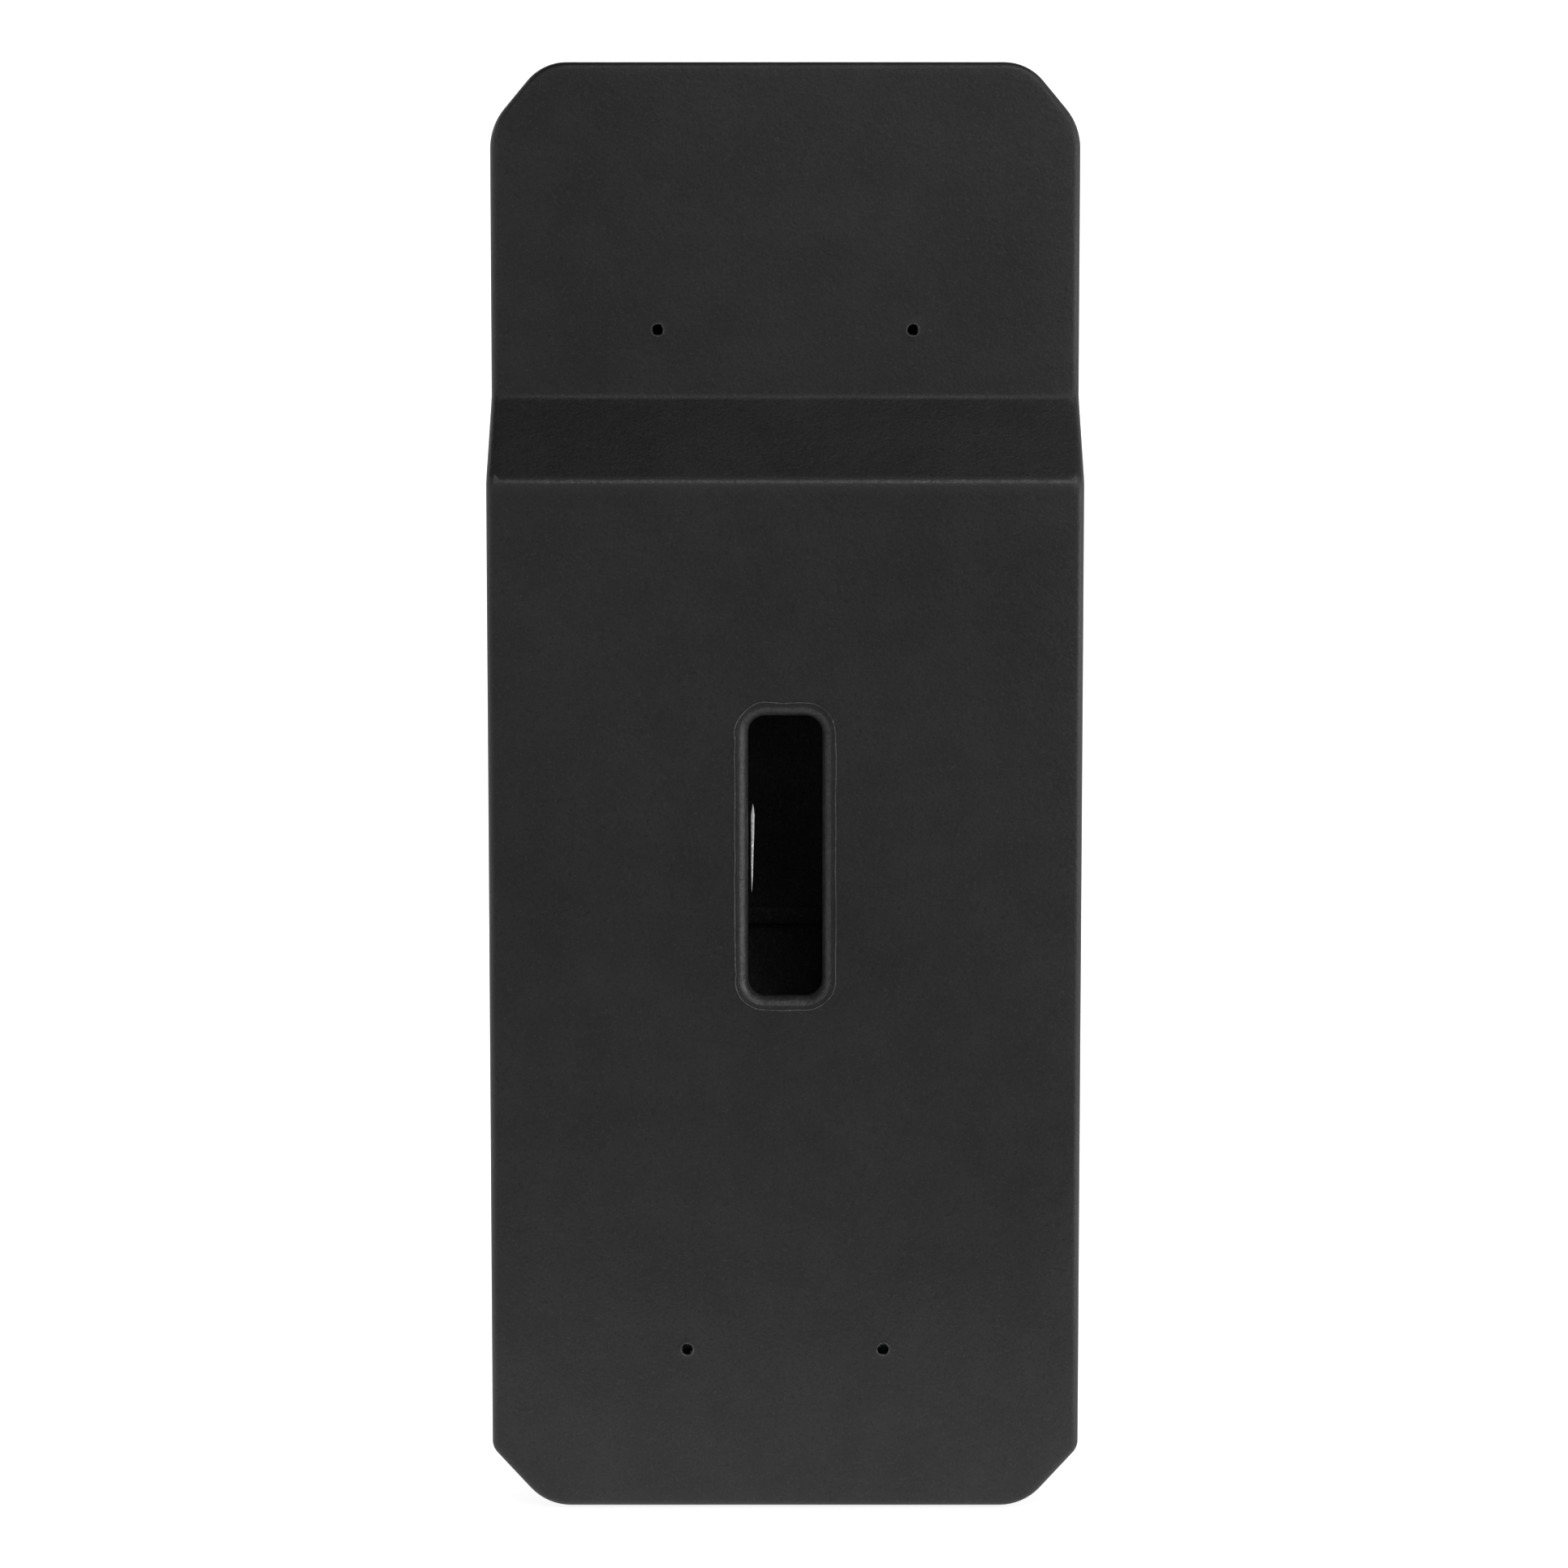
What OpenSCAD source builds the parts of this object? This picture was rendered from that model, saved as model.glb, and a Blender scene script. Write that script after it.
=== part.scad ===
// Wall-hung ashtray bin: a moulded cabinet with a stubbing plate, a chute, a lockable door
// and a lift-out liner. Millimetres, +Z up, the front faces -Y and the wall is the plane y = 0.
// The origin is midway between the two lower fixing holes, on the wall plane.
// Heights whose names end in _h are measured up from the underside of the body.

/* [Body shell] */
// Width of the body
body_w = 300; // [280:1:340]
// Height of the body
body_h = 735; // [720:1:780]
// Depth of the lower body, from the wall to the door
body_d = 130; // [125:1:170]
// How far the hood stands forward of the door
hood_d = 20; // [8:1:30]
// Thickness of the moulded wall
wall_t = 5; // [4:0.5:6]
// How far the head is set back from the wall
step_d = 40; // [20:1:42]
// Height of the shoulder where the step begins
shoulder_h = 523; // [515:1:530]
// Height of the crease where the head begins
crease_h = 566; // [560:1:575]

/* [Cut corners] */
// Width of the cut at each top corner
top_cut_w = 27; // [15:1:35]
// Height of the cut at each top corner
top_cut_h = 32; // [20:1:40]
// Width of the cut at each bottom corner
base_cut_w = 28; // [15:1:35]
// Height of the cut at each bottom corner
base_cut_h = 30; // [20:1:34]

/* [Rear slot and fixings] */
// Width of the rear slot
slot_w = 38; // [25:1:60]
// Length of the rear slot
slot_l = 143; // [80:1:160]
// Height of the middle of the rear slot
slot_h = 334.5; // [320:0.5:345]
// Radius of the slot's corners
slot_r = 9; // [4:1:12]
// How far the slot's lip turns into the cabinet
slot_lip_d = 11; // [6:1:11]
// Diameter of the fixing holes
fix_d = 6; // [4:0.5:10]
// Distance between the upper fixing holes
upper_fix_pitch = 130; // [80:1:200]
// Height of the upper fixing holes
upper_fix_h = 600; // [585:1:640]
// Distance between the lower fixing holes
lower_fix_pitch = 100; // [60:1:200]
// Height of the lower fixing holes
lower_fix_h = 82; // [60:1:120]

/* [Mouth] */
// Width of the mouth
mouth_w = 210; // [200:1:220]
// Height of the mouth's front sill
sill_h = 447; // [445:1:452]
// Height of the hood's lower front edge
hood_h = 556; // [550:1:560]
// Slope of the mouth's floor
floor_slope = 18; // [10:1:20]
// Distance from the wall plane to the mouth's back
mouth_back_d = 60; // [58:1:62]

/* [Door] */
// Width of the door
door_w = 236; // [220:1:240]
// Height of the door
door_l = 380; // [360:1:384]
// Height of the door's lower edge
door_h = 38; // [36:1:40]
// Thickness of the door
door_t = 8; // [7:0.5:8]
// Gap round the door
door_gap = 2; // [1:0.5:3]
// Height of the lock
lock_h = 330; // [322:1:345]

/* [Liner] */
// Width of the liner
liner_w = 200; // [160:1:200]
// Depth of the liner, front to back
liner_d = 94; // [80:1:94]
// Height of the liner's wall
liner_l = 205; // [150:1:205]
// Thickness of the liner's sheet
liner_t = 1.2; // [0.8:0.1:1.5]
// Diameter of the bail's wire
bail_d = 5; // [4:0.5:5]

/* [Hidden] */

$fn = 48;
eps = 0.5;                    // how far a cutter runs past the face that it cuts
arc_steps = 8;                // straight pieces in each rounded corner of an outline

// Places in the part's own frame
base_z = -lower_fix_h;
top_z = base_z + body_h;
shoulder_z = base_z + shoulder_h;
crease_z = base_z + crease_h;
sill_z = base_z + sill_h;
hood_z = base_z + hood_h;
front_y = -body_d;
hood_y = front_y - hood_d;
mouth_back_y = -mouth_back_d;
slot_z = base_z + slot_h;
upper_fix_z = base_z + upper_fix_h;
door_z = base_z + door_h;
lock_z = base_z + lock_h;

// Corner rounding of the front outline and of the side profile
top_r = 26;
top_side_r = 31;
base_r = 28;
base_side_r = 17;
fold_r = 5;
hood_top_drop = 24;           // height of the slope at the top of the hood
hood_top_in = 18;             // depth of that slope
roof_rise = 10;               // rise of the mouth's ceiling from the hood's edge to the back
mouth_r = 20;
sill_drop = 12;               // how far below the sill the hood's slope ends
sill_set = 2;                 // the mouth's floor starts this far behind the door's face

// Doorway: the door lies in a rebate, against a lip that the liner passes through
doorway_w = door_w + 2 * door_gap;
doorway_l = door_l + 2 * door_gap;
doorway_r = 12;
lip_w = 12;
stop_gap = 0.5;
lip_front_y = front_y + door_t + stop_gap;
lip_back_y = lip_front_y + wall_t;
lip_r = 6;
door_skin = 4;
door_rib = 9;
door_inner_y = front_y + door_t;
pocket_r = 4;
lock_boss = 34;               // solid square left round the lock
drain_d = 8;
drain_x = 60;

// The mouth's floor, where the chute's flange and the stubbing plate lie
floor_y = (front_y + sill_set + mouth_back_y) / 2;
floor_half = (mouth_back_y - front_y - sill_set) / 2;
floor_z = sill_z + floor_half * tan(floor_slope);
floor_l = 2 * floor_half / cos(floor_slope);
aperture_w = mouth_w - 30;
aperture_l = floor_l - 27;
flange_t = 1.5;
plate_t = 2;
plate_w = mouth_w - 6;
plate_l = floor_l - 6;
plate_screw_x = mouth_w / 2 - 8;
plate_screw_v = floor_l / 2 - 9;
screw_r = 2;
screw_head_r = 4;
screw_head_t = 2;
screw_l = 12;
screw_key_r = 1.4;            // hexagon socket in the head
screw_key_d = 5;
plate_r = 5;
cut_h = 10;                   // height of a cutter that passes right through the plate
drop_slot_w = 168;
drop_slot_l = 24;
drop_slot_v = 5;
chute_t = 1.2;
chute_out_h = 404;
chute_out_w = 108;
chute_y = floor_y + 0.8;
chute_neck_h = 10;            // the funnel is straight for this far under the floor
chute_side_gap = 2;
chute_end_gap = 1.5;
chute_front_in = 6;           // how far its front and back walls lean in
chute_back_in = 2;
dimple_r = 9;
dimple_rise = 1.6;
dimple_pitch = 16;
dimple_rows = [-13.5, -25];

// Hinges: butt hinges on the front face, with their axis over the gap beside the door
hinge_x = -door_w / 2 - door_gap / 2;
hinge_r = 4;
hinge_pin_r = 2;
run_gap = 0.05;
hinge_y = front_y - hinge_r - 0.5;
hinge_l = 60;
hinge_leaf_w = 24;
hinge_leaf_t = 2;
hinge_knuckle = hinge_l / 3;
hinge_knuckle_gap = 0.3;
hinge_in = 60;                // from each end of the door to the middle of its hinge
hinge_zs = [door_z + hinge_in, door_z + door_l - hinge_in];
hinge_pad_w = hinge_leaf_w + 6;
hinge_rivet_x = 15;
hinge_rivet_z = 20;

// Rivets
rivet_r = 2;
rivet_gap = 0.1;
rivet_head_r = 3.6;
rivet_head_t = 1.3;
flush_t = 1.6;                // depth of a countersunk head
rivet_tail_r = 2.8;
rivet_tail_t = 1.5;
flush_tail_t = 1;

// Lock
lock_x = door_w / 2 - 26;
lock_r = 9;
lock_flange_r = 12;
lock_flange_t = 2.5;
lock_end_y = lip_back_y + 1.8;
plug_r = 6;
plug_tail = 6;
key_well_r = 5.5;
key_well_d = 5;
key_r = 3.6;
nut_w = 24;
nut_t = 3.5;
cam_t = 2;
cam_w = 14;
cam_l = 30;
cam_screw_r = 1.5;
cam_screw_l = 8;
keeper_t = 1.5;
keeper_l = 66;
keeper_w = 13;
keeper_x = doorway_w / 2 - lip_w / 2 + 0.5;
keeper_rivet_in = 6;
lock_depth = lock_end_y - front_y;

// Liner, shelf and bail
liner_y = lip_back_y + 6.5 + liner_d / 2;
shelf_h = 36;
shelf_t = 2;
shelf_w = 196;
shelf_d = 90;
shelf_foot = 14;
shelf_rivet_y = 30;
shelf_z = base_z + shelf_h;
liner_top_z = shelf_z + liner_l;
liner_r = 8;
hem_w = 3;
hem_l = 4;
bail_r = bail_d / 2;
bail_z = liner_top_z + bail_r + 0.3;
bail_x = liner_w / 2 + 1.5;
bail_reach = liner_d / 2 + 1.5;
ear_t = 2;
ear_w = 22;
ear_top = 8;
ear_drop = 28;
ear_gap = 2;                  // the ear's plate stops this far below the rim
ear_rivet_y = 6;
ear_rivet_drop = 16;
ear_x = liner_w / 2 - liner_t - ear_t;
bail_tail = 3;                // how far the wire's ends stand inside the ears

// Sign plate
sign_w = 180;
sign_l = 84;
sign_t = 1.5;
sign_r = 8;
sign_z = base_z + 637;
sign_rivet_in = 9;

// ---- Outlines ----

function unit(v) = v / norm(v);

// The arc that rounds corner b of the path a-b-c, where each point is [x, y, radius]
function corner(a, b, c) =
    let (p = [b.x, b.y],
         ua = unit([a.x, a.y] - p),
         uc = unit([c.x, c.y] - p),
         half = acos(ua * uc) / 2,
         reach = b.z / tan(half),
         centre = p + unit(ua + uc) * b.z / sin(half),
         start = p + ua * reach - centre,
         end = p + uc * reach - centre,
         a0 = atan2(start.y, start.x),
         turn = atan2(start.x * end.y - start.y * end.x, start * end))
    b.z == 0 ? [p] : [for (i = [0 : arc_steps])
        centre + b.z * [cos(a0 + turn * i / arc_steps), sin(a0 + turn * i / arc_steps)]];

function rounded(pts) = [for (i = [0 : len(pts) - 1])
    each corner(pts[(i + len(pts) - 1) % len(pts)], pts[i], pts[(i + 1) % len(pts)])];

// Points of the right half, followed by the same points mirrored
function both_sides(half) = concat(half,
    [for (i = [len(half) - 1 : -1 : 0]) [-half[i].x, half[i].y, half[i].z]]);

module rounded_rect(w, h, r) {
    polygon(rounded([[w / 2, -h / 2, r], [w / 2, h / 2, r], [-w / 2, h / 2, r], [-w / 2, -h / 2, r]]));
}

// An x-z outline, extruded from y = back towards the front
module along_y(back, depth) {
    translate([0, back, 0]) rotate([90, 0, 0]) linear_extrude(depth) children();
}

// A y-z profile, extruded along X and centred on x = 0
module along_x(width) {
    translate([-width / 2, 0, 0]) rotate([90, 0, 90]) linear_extrude(width) children();
}

module front_outline() {
    polygon(rounded(both_sides([
        [body_w / 2 - base_cut_w, base_z, base_r],
        [body_w / 2, base_z + base_cut_h, base_side_r],
        [body_w / 2, top_z - top_cut_h, top_side_r],
        [body_w / 2 - top_cut_w, top_z, top_r]
    ])));
}

module side_profile() {
    polygon(rounded([
        [0, base_z, 0],
        [0, shoulder_z, fold_r],
        [-step_d, crease_z, fold_r],
        [-step_d, top_z, 0],
        [hood_y + hood_top_in, top_z, fold_r],
        [hood_y, top_z - hood_top_drop, fold_r],
        [hood_y, hood_z, fold_r],
        [front_y, sill_z - sill_drop, fold_r],
        [front_y, base_z, 0]
    ]));
}

module mouth_profile() {
    polygon([
        [front_y + sill_set, sill_z],
        [mouth_back_y, sill_z + 2 * floor_half * tan(floor_slope)],
        [mouth_back_y, hood_z + roof_rise],
        [hood_y, hood_z],
        [hood_y - hood_d, hood_z],
        [hood_y - hood_d, sill_z]
    ]);
}

module mouth_outline() {
    polygon(rounded(both_sides([
        [mouth_w / 2, sill_z - mouth_r, 0],
        [mouth_w / 2, hood_z + roof_rise, mouth_r]
    ])));
}

// Places children in the plane of the mouth's floor: X across, Y up the slope, Z off the floor
module on_floor() {
    translate([0, floor_y, floor_z]) rotate([floor_slope, 0, 0]) children();
}

// ---- Fasteners ----

// A blind rivet with its head on z = 0, through a pack of the given thickness
module rivet(grip) {
    rotate_extrude() polygon(rounded([
        [0, rivet_head_t, 0],
        [rivet_head_r * 0.6, rivet_head_t, 0.8],
        [rivet_head_r, 0.4, 0.3],
        [rivet_head_r, 0, 0],
        [rivet_r, 0, 0],
        [rivet_r, -grip, 0],
        [rivet_tail_r, -grip, 0],
        [rivet_tail_r, -grip - rivet_tail_t, 0.6],
        [0, -grip - rivet_tail_t, 0]
    ]));
}

// The same rivet with a countersunk head, flush with z = 0
module flush_rivet(grip) {
    rotate_extrude() polygon([
        [0, 0], [rivet_head_r, 0], [rivet_r, -flush_t], [rivet_r, -grip],
        [rivet_tail_r, -grip], [rivet_tail_r, -grip - flush_tail_t], [0, -grip - flush_tail_t]
    ]);
}

module flush_rivet_hole(grip) {
    rivet_hole(grip);
    translate([0, 0, -flush_t])
        cylinder(r1 = rivet_r + rivet_gap, r2 = rivet_head_r + rivet_gap, h = flush_t);
    translate([0, 0, -0.01]) cylinder(r = rivet_head_r + rivet_gap, h = eps);
}

module rivet_hole(grip) {
    translate([0, 0, -grip - eps]) cylinder(r = rivet_r + rivet_gap, h = grip + 2 * eps);
}

// Each set below places its children with local +Z along the rivet, out of its head
module at_hinge_rivets(side) {
    for (z = hinge_zs, dz = [-hinge_rivet_z, hinge_rivet_z])
        translate([hinge_x + side * hinge_rivet_x, front_y - hinge_leaf_t, z + dz])
            rotate([90, 0, 0]) children();
}

module at_sign_rivets() {
    for (x = [-1, 1], z = [-1, 1])
        translate([x * (sign_w / 2 - sign_rivet_in), hood_y - sign_t,
                   sign_z + z * (sign_l / 2 - sign_rivet_in)])
            rotate([90, 0, 0]) children();
}

module at_keeper_rivets() {
    for (z = [-1, 1])
        translate([keeper_x, lip_front_y, lock_z + z * (keeper_l / 2 - keeper_rivet_in)])
            rotate([90, 0, 0]) children();
}

module at_shelf_rivets() {
    for (x = [-1, 1], y = [-1, 1])
        translate([x * (shelf_w / 2 - shelf_foot / 2), liner_y + y * shelf_rivet_y, base_z])
            rotate([180, 0, 0]) children();
}

module at_ear_rivets() {
    for (side = [-1, 1], y = [-1, 1])
        translate([side * liner_w / 2, liner_y + y * ear_rivet_y, liner_top_z - ear_rivet_drop])
            rotate([0, side * 90, 0]) children();
}

module at_plate_screws() {
    on_floor() for (x = [-1, 1], v = [-1, 1])
        translate([x * plate_screw_x, v * plate_screw_v, flange_t + plate_t]) children();
}

// ---- Body shell ----

module shell_outside() {
    intersection() {
        along_y(0, body_d + hood_d) front_outline();
        along_x(body_w) side_profile();
    }
}

module shell_inside() {
    intersection() {
        along_y(0, body_d + hood_d) offset(delta = -wall_t) front_outline();
        along_x(body_w) offset(delta = -wall_t) side_profile();
    }
}

module mouth_space(grow) {
    intersection() {
        along_y(0, body_d + 2 * hood_d) offset(delta = grow) mouth_outline();
        along_x(body_w) offset(delta = grow) mouth_profile();
    }
}

module doorway_prism(back, depth, grow, r) {
    translate([0, 0, door_z + door_l / 2]) along_y(back, depth)
        rounded_rect(doorway_w + 2 * grow, doorway_l + 2 * grow, r);
}

module slot_prism(back, depth, grow) {
    translate([0, 0, slot_z]) along_y(back, depth)
        rounded_rect(slot_w + 2 * grow, slot_l + 2 * grow, slot_r + grow);
}

module fixing_holes() {
    for (x = [-1, 1]) {
        translate([x * upper_fix_pitch / 2, -step_d + eps, upper_fix_z])
            rotate([90, 0, 0]) cylinder(d = fix_d, h = wall_t + 2 * eps);
        translate([x * lower_fix_pitch / 2, eps, 0])
            rotate([90, 0, 0]) cylinder(d = fix_d, h = wall_t + 2 * eps);
    }
}

module drain_holes() {
    for (x = [-1, 1])
        translate([x * drain_x, liner_y, base_z - eps]) cylinder(d = drain_d, h = wall_t + 2 * eps);
}

module body_shell() {
    color([0.18, 0.18, 0.18]) difference() {
        union() {
            difference() {
                shell_outside();
                shell_inside();
            }
            intersection() {
                shell_outside();
                mouth_space(wall_t);
            }
            doorway_prism(lip_back_y, lip_back_y - front_y, wall_t, doorway_r + wall_t);
            slot_prism(0, slot_lip_d, wall_t);
        }
        mouth_space(0);
        doorway_prism(lip_front_y, door_t + stop_gap + eps, 0, doorway_r);
        doorway_prism(lip_back_y + eps, wall_t + 2 * eps, -lip_w, lip_r);
        slot_prism(eps, slot_lip_d + 2 * eps, 0);
        on_floor() translate([-aperture_w / 2, -aperture_l / 2, -wall_t - 2])
            cube([aperture_w, aperture_l, wall_t + 2 + eps]);
        fixing_holes();
        drain_holes();
        at_hinge_rivets(-1) rivet_hole(hinge_leaf_t + wall_t);
        at_sign_rivets() rivet_hole(sign_t + wall_t);
        at_keeper_rivets() flush_rivet_hole(wall_t + keeper_t);
        at_shelf_rivets() rivet_hole(wall_t + shelf_t);
        at_plate_screws() screw_hole();
    }
}

// ---- Mouth ----

module screw_hole() {
    translate([0, 0, -screw_l - eps]) cylinder(r = screw_r + rivet_gap, h = screw_l + 2 * eps);
}

// A shallow dome on z = 0, rooted in the sheet below it
module dimple() {
    intersection() {
        translate([0, 0, dimple_rise - dimple_r]) sphere(r = dimple_r);
        translate([-dimple_r, -dimple_r, -plate_t / 2])
            cube([2 * dimple_r, 2 * dimple_r, plate_t / 2 + dimple_rise + eps]);
    }
}

module stub_plate() {
    slot_end_r = drop_slot_l / 2;
    color([0.75, 0.76, 0.77]) difference() {
        on_floor() union() {
            translate([0, 0, flange_t]) linear_extrude(plate_t) rounded_rect(plate_w, plate_l, plate_r);
            for (row = [0, 1], i = [-5 : 5 - row])
                translate([(i + row / 2) * dimple_pitch, dimple_rows[row], flange_t + plate_t])
                    dimple();
        }
        on_floor() for (x = [-1, 1])
            translate([x * (drop_slot_w / 2 - slot_end_r), drop_slot_v, 0])
                cylinder(r = slot_end_r, h = cut_h);
        on_floor() translate([-drop_slot_w / 2 + slot_end_r, drop_slot_v - slot_end_r, 0])
            cube([drop_slot_w - drop_slot_l, drop_slot_l, cut_h]);
        at_plate_screws() screw_hole();
    }
}

module stub_plate_screws() {
    color([0.8, 0.8, 0.82]) at_plate_screws() difference() {
        union() {
            rotate_extrude() polygon(rounded([
                [0, screw_head_t, 0],
                [screw_head_r * 0.7, screw_head_t, 1],
                [screw_head_r, 0.5, 0.4],
                [screw_head_r, 0, 0],
                [0, 0, 0]
            ]));
            translate([0, 0, -screw_l]) cylinder(r = screw_r, h = screw_l + eps);
        }
        cylinder(r = screw_key_r, h = screw_key_d, $fn = 6);
    }
}

// The funnel's outside, less its sheet when inset is the sheet's thickness
module funnel(inset) {
    top_in = flange_t + floor_z + floor_half;
    out_z = base_z + chute_out_h - (inset > 0 ? eps : 0);
    neck_z = floor_z - chute_neck_h;
    neck_x = aperture_w / 2 - chute_side_gap - inset;
    half_l = aperture_l * cos(floor_slope) / 2 - chute_end_gap - inset;
    intersection() {
        along_y(0, body_d) polygon([
            [-chute_out_w / 2 + inset, out_z],
            [chute_out_w / 2 - inset, out_z],
            [neck_x, neck_z],
            [neck_x, top_in],
            [-neck_x, top_in],
            [-neck_x, neck_z]
        ]);
        along_x(body_w) polygon([
            [chute_y - half_l + chute_front_in, out_z],
            [chute_y + half_l - chute_back_in, out_z],
            [chute_y + half_l, neck_z],
            [chute_y + half_l, top_in],
            [chute_y - half_l, top_in],
            [chute_y - half_l, neck_z]
        ]);
    }
}

module butt_chute() {
    color([0.62, 0.64, 0.66]) difference() {
        union() {
            on_floor() linear_extrude(flange_t) rounded_rect(plate_w, plate_l, plate_r);
            intersection() {
                funnel(0);
                on_floor() translate([-body_w / 2, -body_d, -body_d])
                    cube([body_w, 2 * body_d, body_d + flange_t]);
            }
        }
        funnel(chute_t);
        at_plate_screws() screw_hole();
    }
}

// ---- Door and hinges ----

module door_panel() {
    pocket_w = door_w - 2 * door_rib;
    pocket_l = (door_l - 4 * door_rib) / 3;
    color([0.18, 0.18, 0.18]) difference() {
        translate([0, 0, door_z + door_l / 2]) along_y(door_inner_y, door_t)
            rounded_rect(door_w, door_l, doorway_r - door_gap);
        difference() {
            for (i = [0 : 2])
                translate([0, 0, door_z + door_rib + pocket_l / 2 + i * (pocket_l + door_rib)])
                    along_y(door_inner_y + eps, door_t - door_skin + eps)
                        rounded_rect(pocket_w, pocket_l, pocket_r);
            translate([lock_x - lock_boss / 2, front_y, lock_z - lock_boss / 2])
                cube([lock_boss, door_t + 2 * eps, lock_boss]);
            for (z = hinge_zs)
                translate([-door_w / 2, front_y, z - hinge_l / 2])
                    cube([hinge_pad_w, door_t + 2 * eps, hinge_l]);
        }
        translate([lock_x, front_y + door_t + eps, lock_z]) rotate([90, 0, 0])
            cylinder(r = lock_r + rivet_gap, h = door_t + 2 * eps);
        at_hinge_rivets(1) rivet_hole(hinge_leaf_t + door_t);
    }
}

// The knuckles of one hinge: the outer two (side -1) or the middle one (side 1)
module knuckles(side) {
    gap = side > 0 ? hinge_knuckle_gap : 0;
    for (i = side > 0 ? [0] : [-1, 1])
        translate([0, 0, i * hinge_knuckle - hinge_knuckle / 2 + gap])
            cylinder(r = hinge_r, h = hinge_knuckle - 2 * gap);
}

module hinge_leaf(side) {
    leaf_y = front_y - hinge_leaf_t - hinge_y;
    difference() {
        union() {
            knuckles(side);
            difference() {
                translate([side > 0 ? 0 : -hinge_leaf_w, leaf_y, -hinge_l / 2])
                    cube([hinge_leaf_w, hinge_leaf_t, hinge_l]);
                for (i = side > 0 ? [-1, 1] : [0])
                    translate([0, 0, i * hinge_knuckle - hinge_knuckle / 2 - hinge_knuckle_gap])
                        cylinder(r = hinge_r + 1.5, h = hinge_knuckle + 2 * hinge_knuckle_gap);
            }
        }
        translate([0, 0, -hinge_l]) cylinder(r = hinge_pin_r + run_gap, h = 2 * hinge_l);
    }
}

module hinge_leaves(side) {
    difference() {
        for (z = hinge_zs) translate([hinge_x, hinge_y, z]) hinge_leaf(side);
        at_hinge_rivets(side) rivet_hole(hinge_leaf_t);
    }
}

module hinge_body_leaves() {
    color([0.7, 0.71, 0.72]) hinge_leaves(-1);
}

module hinge_door_leaves() {
    color([0.72, 0.73, 0.74]) hinge_leaves(1);
}

module hinge_pins() {
    pin_head_t = 1.5;
    color([0.6, 0.61, 0.62]) for (z = hinge_zs) translate([hinge_x, hinge_y, z]) {
        translate([0, 0, -hinge_l / 2 - 1]) cylinder(r = hinge_pin_r, h = hinge_l + 1 + eps);
        translate([0, 0, hinge_l / 2]) cylinder(r = hinge_r - 0.8, h = pin_head_t);
    }
}

module hinge_body_rivets() {
    color([0.65, 0.66, 0.67]) at_hinge_rivets(-1) rivet(hinge_leaf_t + wall_t);
}

module hinge_door_rivets() {
    color([0.65, 0.66, 0.67]) at_hinge_rivets(1) rivet(hinge_leaf_t + door_t);
}

// ---- Lock ----

// Places children on the lock's axis: local +Z out of the front, z = 0 on the door's face
module on_lock() {
    translate([lock_x, front_y, lock_z]) rotate([90, 0, 0]) children();
}

module lock_barrel() {
    color([0.78, 0.79, 0.8]) on_lock() difference() {
        union() {
            rotate_extrude() polygon(rounded([
                [0, 0, 0],
                [lock_flange_r, 0, 0],
                [lock_flange_r, lock_flange_t, 1.2],
                [0, lock_flange_t, 0]
            ]));
            translate([0, 0, -lock_depth]) cylinder(r = lock_r, h = lock_depth + eps);
        }
        translate([0, 0, -lock_depth - eps])
            cylinder(r = plug_r + run_gap, h = lock_depth + lock_flange_t + 2 * eps);
    }
}

module lock_nut() {
    color([0.7, 0.7, 0.68]) on_lock() translate([0, 0, -door_t - nut_t]) difference() {
        cylinder(d = nut_w / cos(30), h = nut_t, $fn = 6);
        translate([0, 0, -eps]) cylinder(r = lock_r + rivet_gap, h = nut_t + 2 * eps);
    }
}

module lock_plug() {
    color([0.82, 0.8, 0.72]) on_lock() {
        difference() {
            translate([0, 0, -lock_depth]) cylinder(r = plug_r, h = lock_depth + lock_flange_t - 0.3);
            translate([0, 0, lock_flange_t - key_well_d]) cylinder(r = key_well_r, h = key_well_d);
            cam_screw_bore();
        }
        translate([0, 0, lock_flange_t - key_well_d - eps])
            cylinder(r = key_r, h = key_well_d, $fn = 3);
        difference() {
            translate([-plug_tail / 2, -plug_tail / 2, -lock_depth - cam_t])
                cube([plug_tail, plug_tail, cam_t + eps]);
            cam_screw_bore();
        }
    }
}

module cam_screw_bore() {
    translate([0, 0, -lock_depth - cam_t - eps])
        cylinder(r = cam_screw_r + run_gap, h = cam_screw_l + eps);
}

module lock_cam() {
    hub_r = 8;
    color([0.74, 0.75, 0.76]) on_lock() translate([0, 0, -lock_depth - cam_t]) difference() {
        union() {
            cylinder(r = hub_r, h = cam_t - run_gap);
            translate([-cam_w / 2, -cam_l, 0]) cube([cam_w, cam_l, cam_t - run_gap]);
        }
        translate([-plug_tail / 2, -plug_tail / 2, -eps]) cube([plug_tail, plug_tail, cam_t + 2 * eps]);
    }
}

module lock_cam_screw() {
    head_r = 5;
    head_t = 2.5;
    socket_r = 1.8;
    socket_d = 1.5;
    color([0.68, 0.68, 0.66]) on_lock() translate([0, 0, -lock_depth - cam_t - head_t])
        difference() {
            union() {
                cylinder(r = head_r, h = head_t);
                cylinder(r = cam_screw_r, h = head_t + cam_screw_l - 1);
            }
            translate([0, 0, -eps]) cylinder(r = socket_r, h = socket_d + eps, $fn = 6);
        }
}

module lock_keeper() {
    color([0.7, 0.71, 0.72]) difference() {
        translate([keeper_x, lip_back_y + keeper_t, lock_z]) rotate([90, 0, 0])
            linear_extrude(keeper_t) rounded_rect(keeper_w, keeper_l, 3);
        at_keeper_rivets() rivet_hole(wall_t + keeper_t);
    }
}

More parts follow.
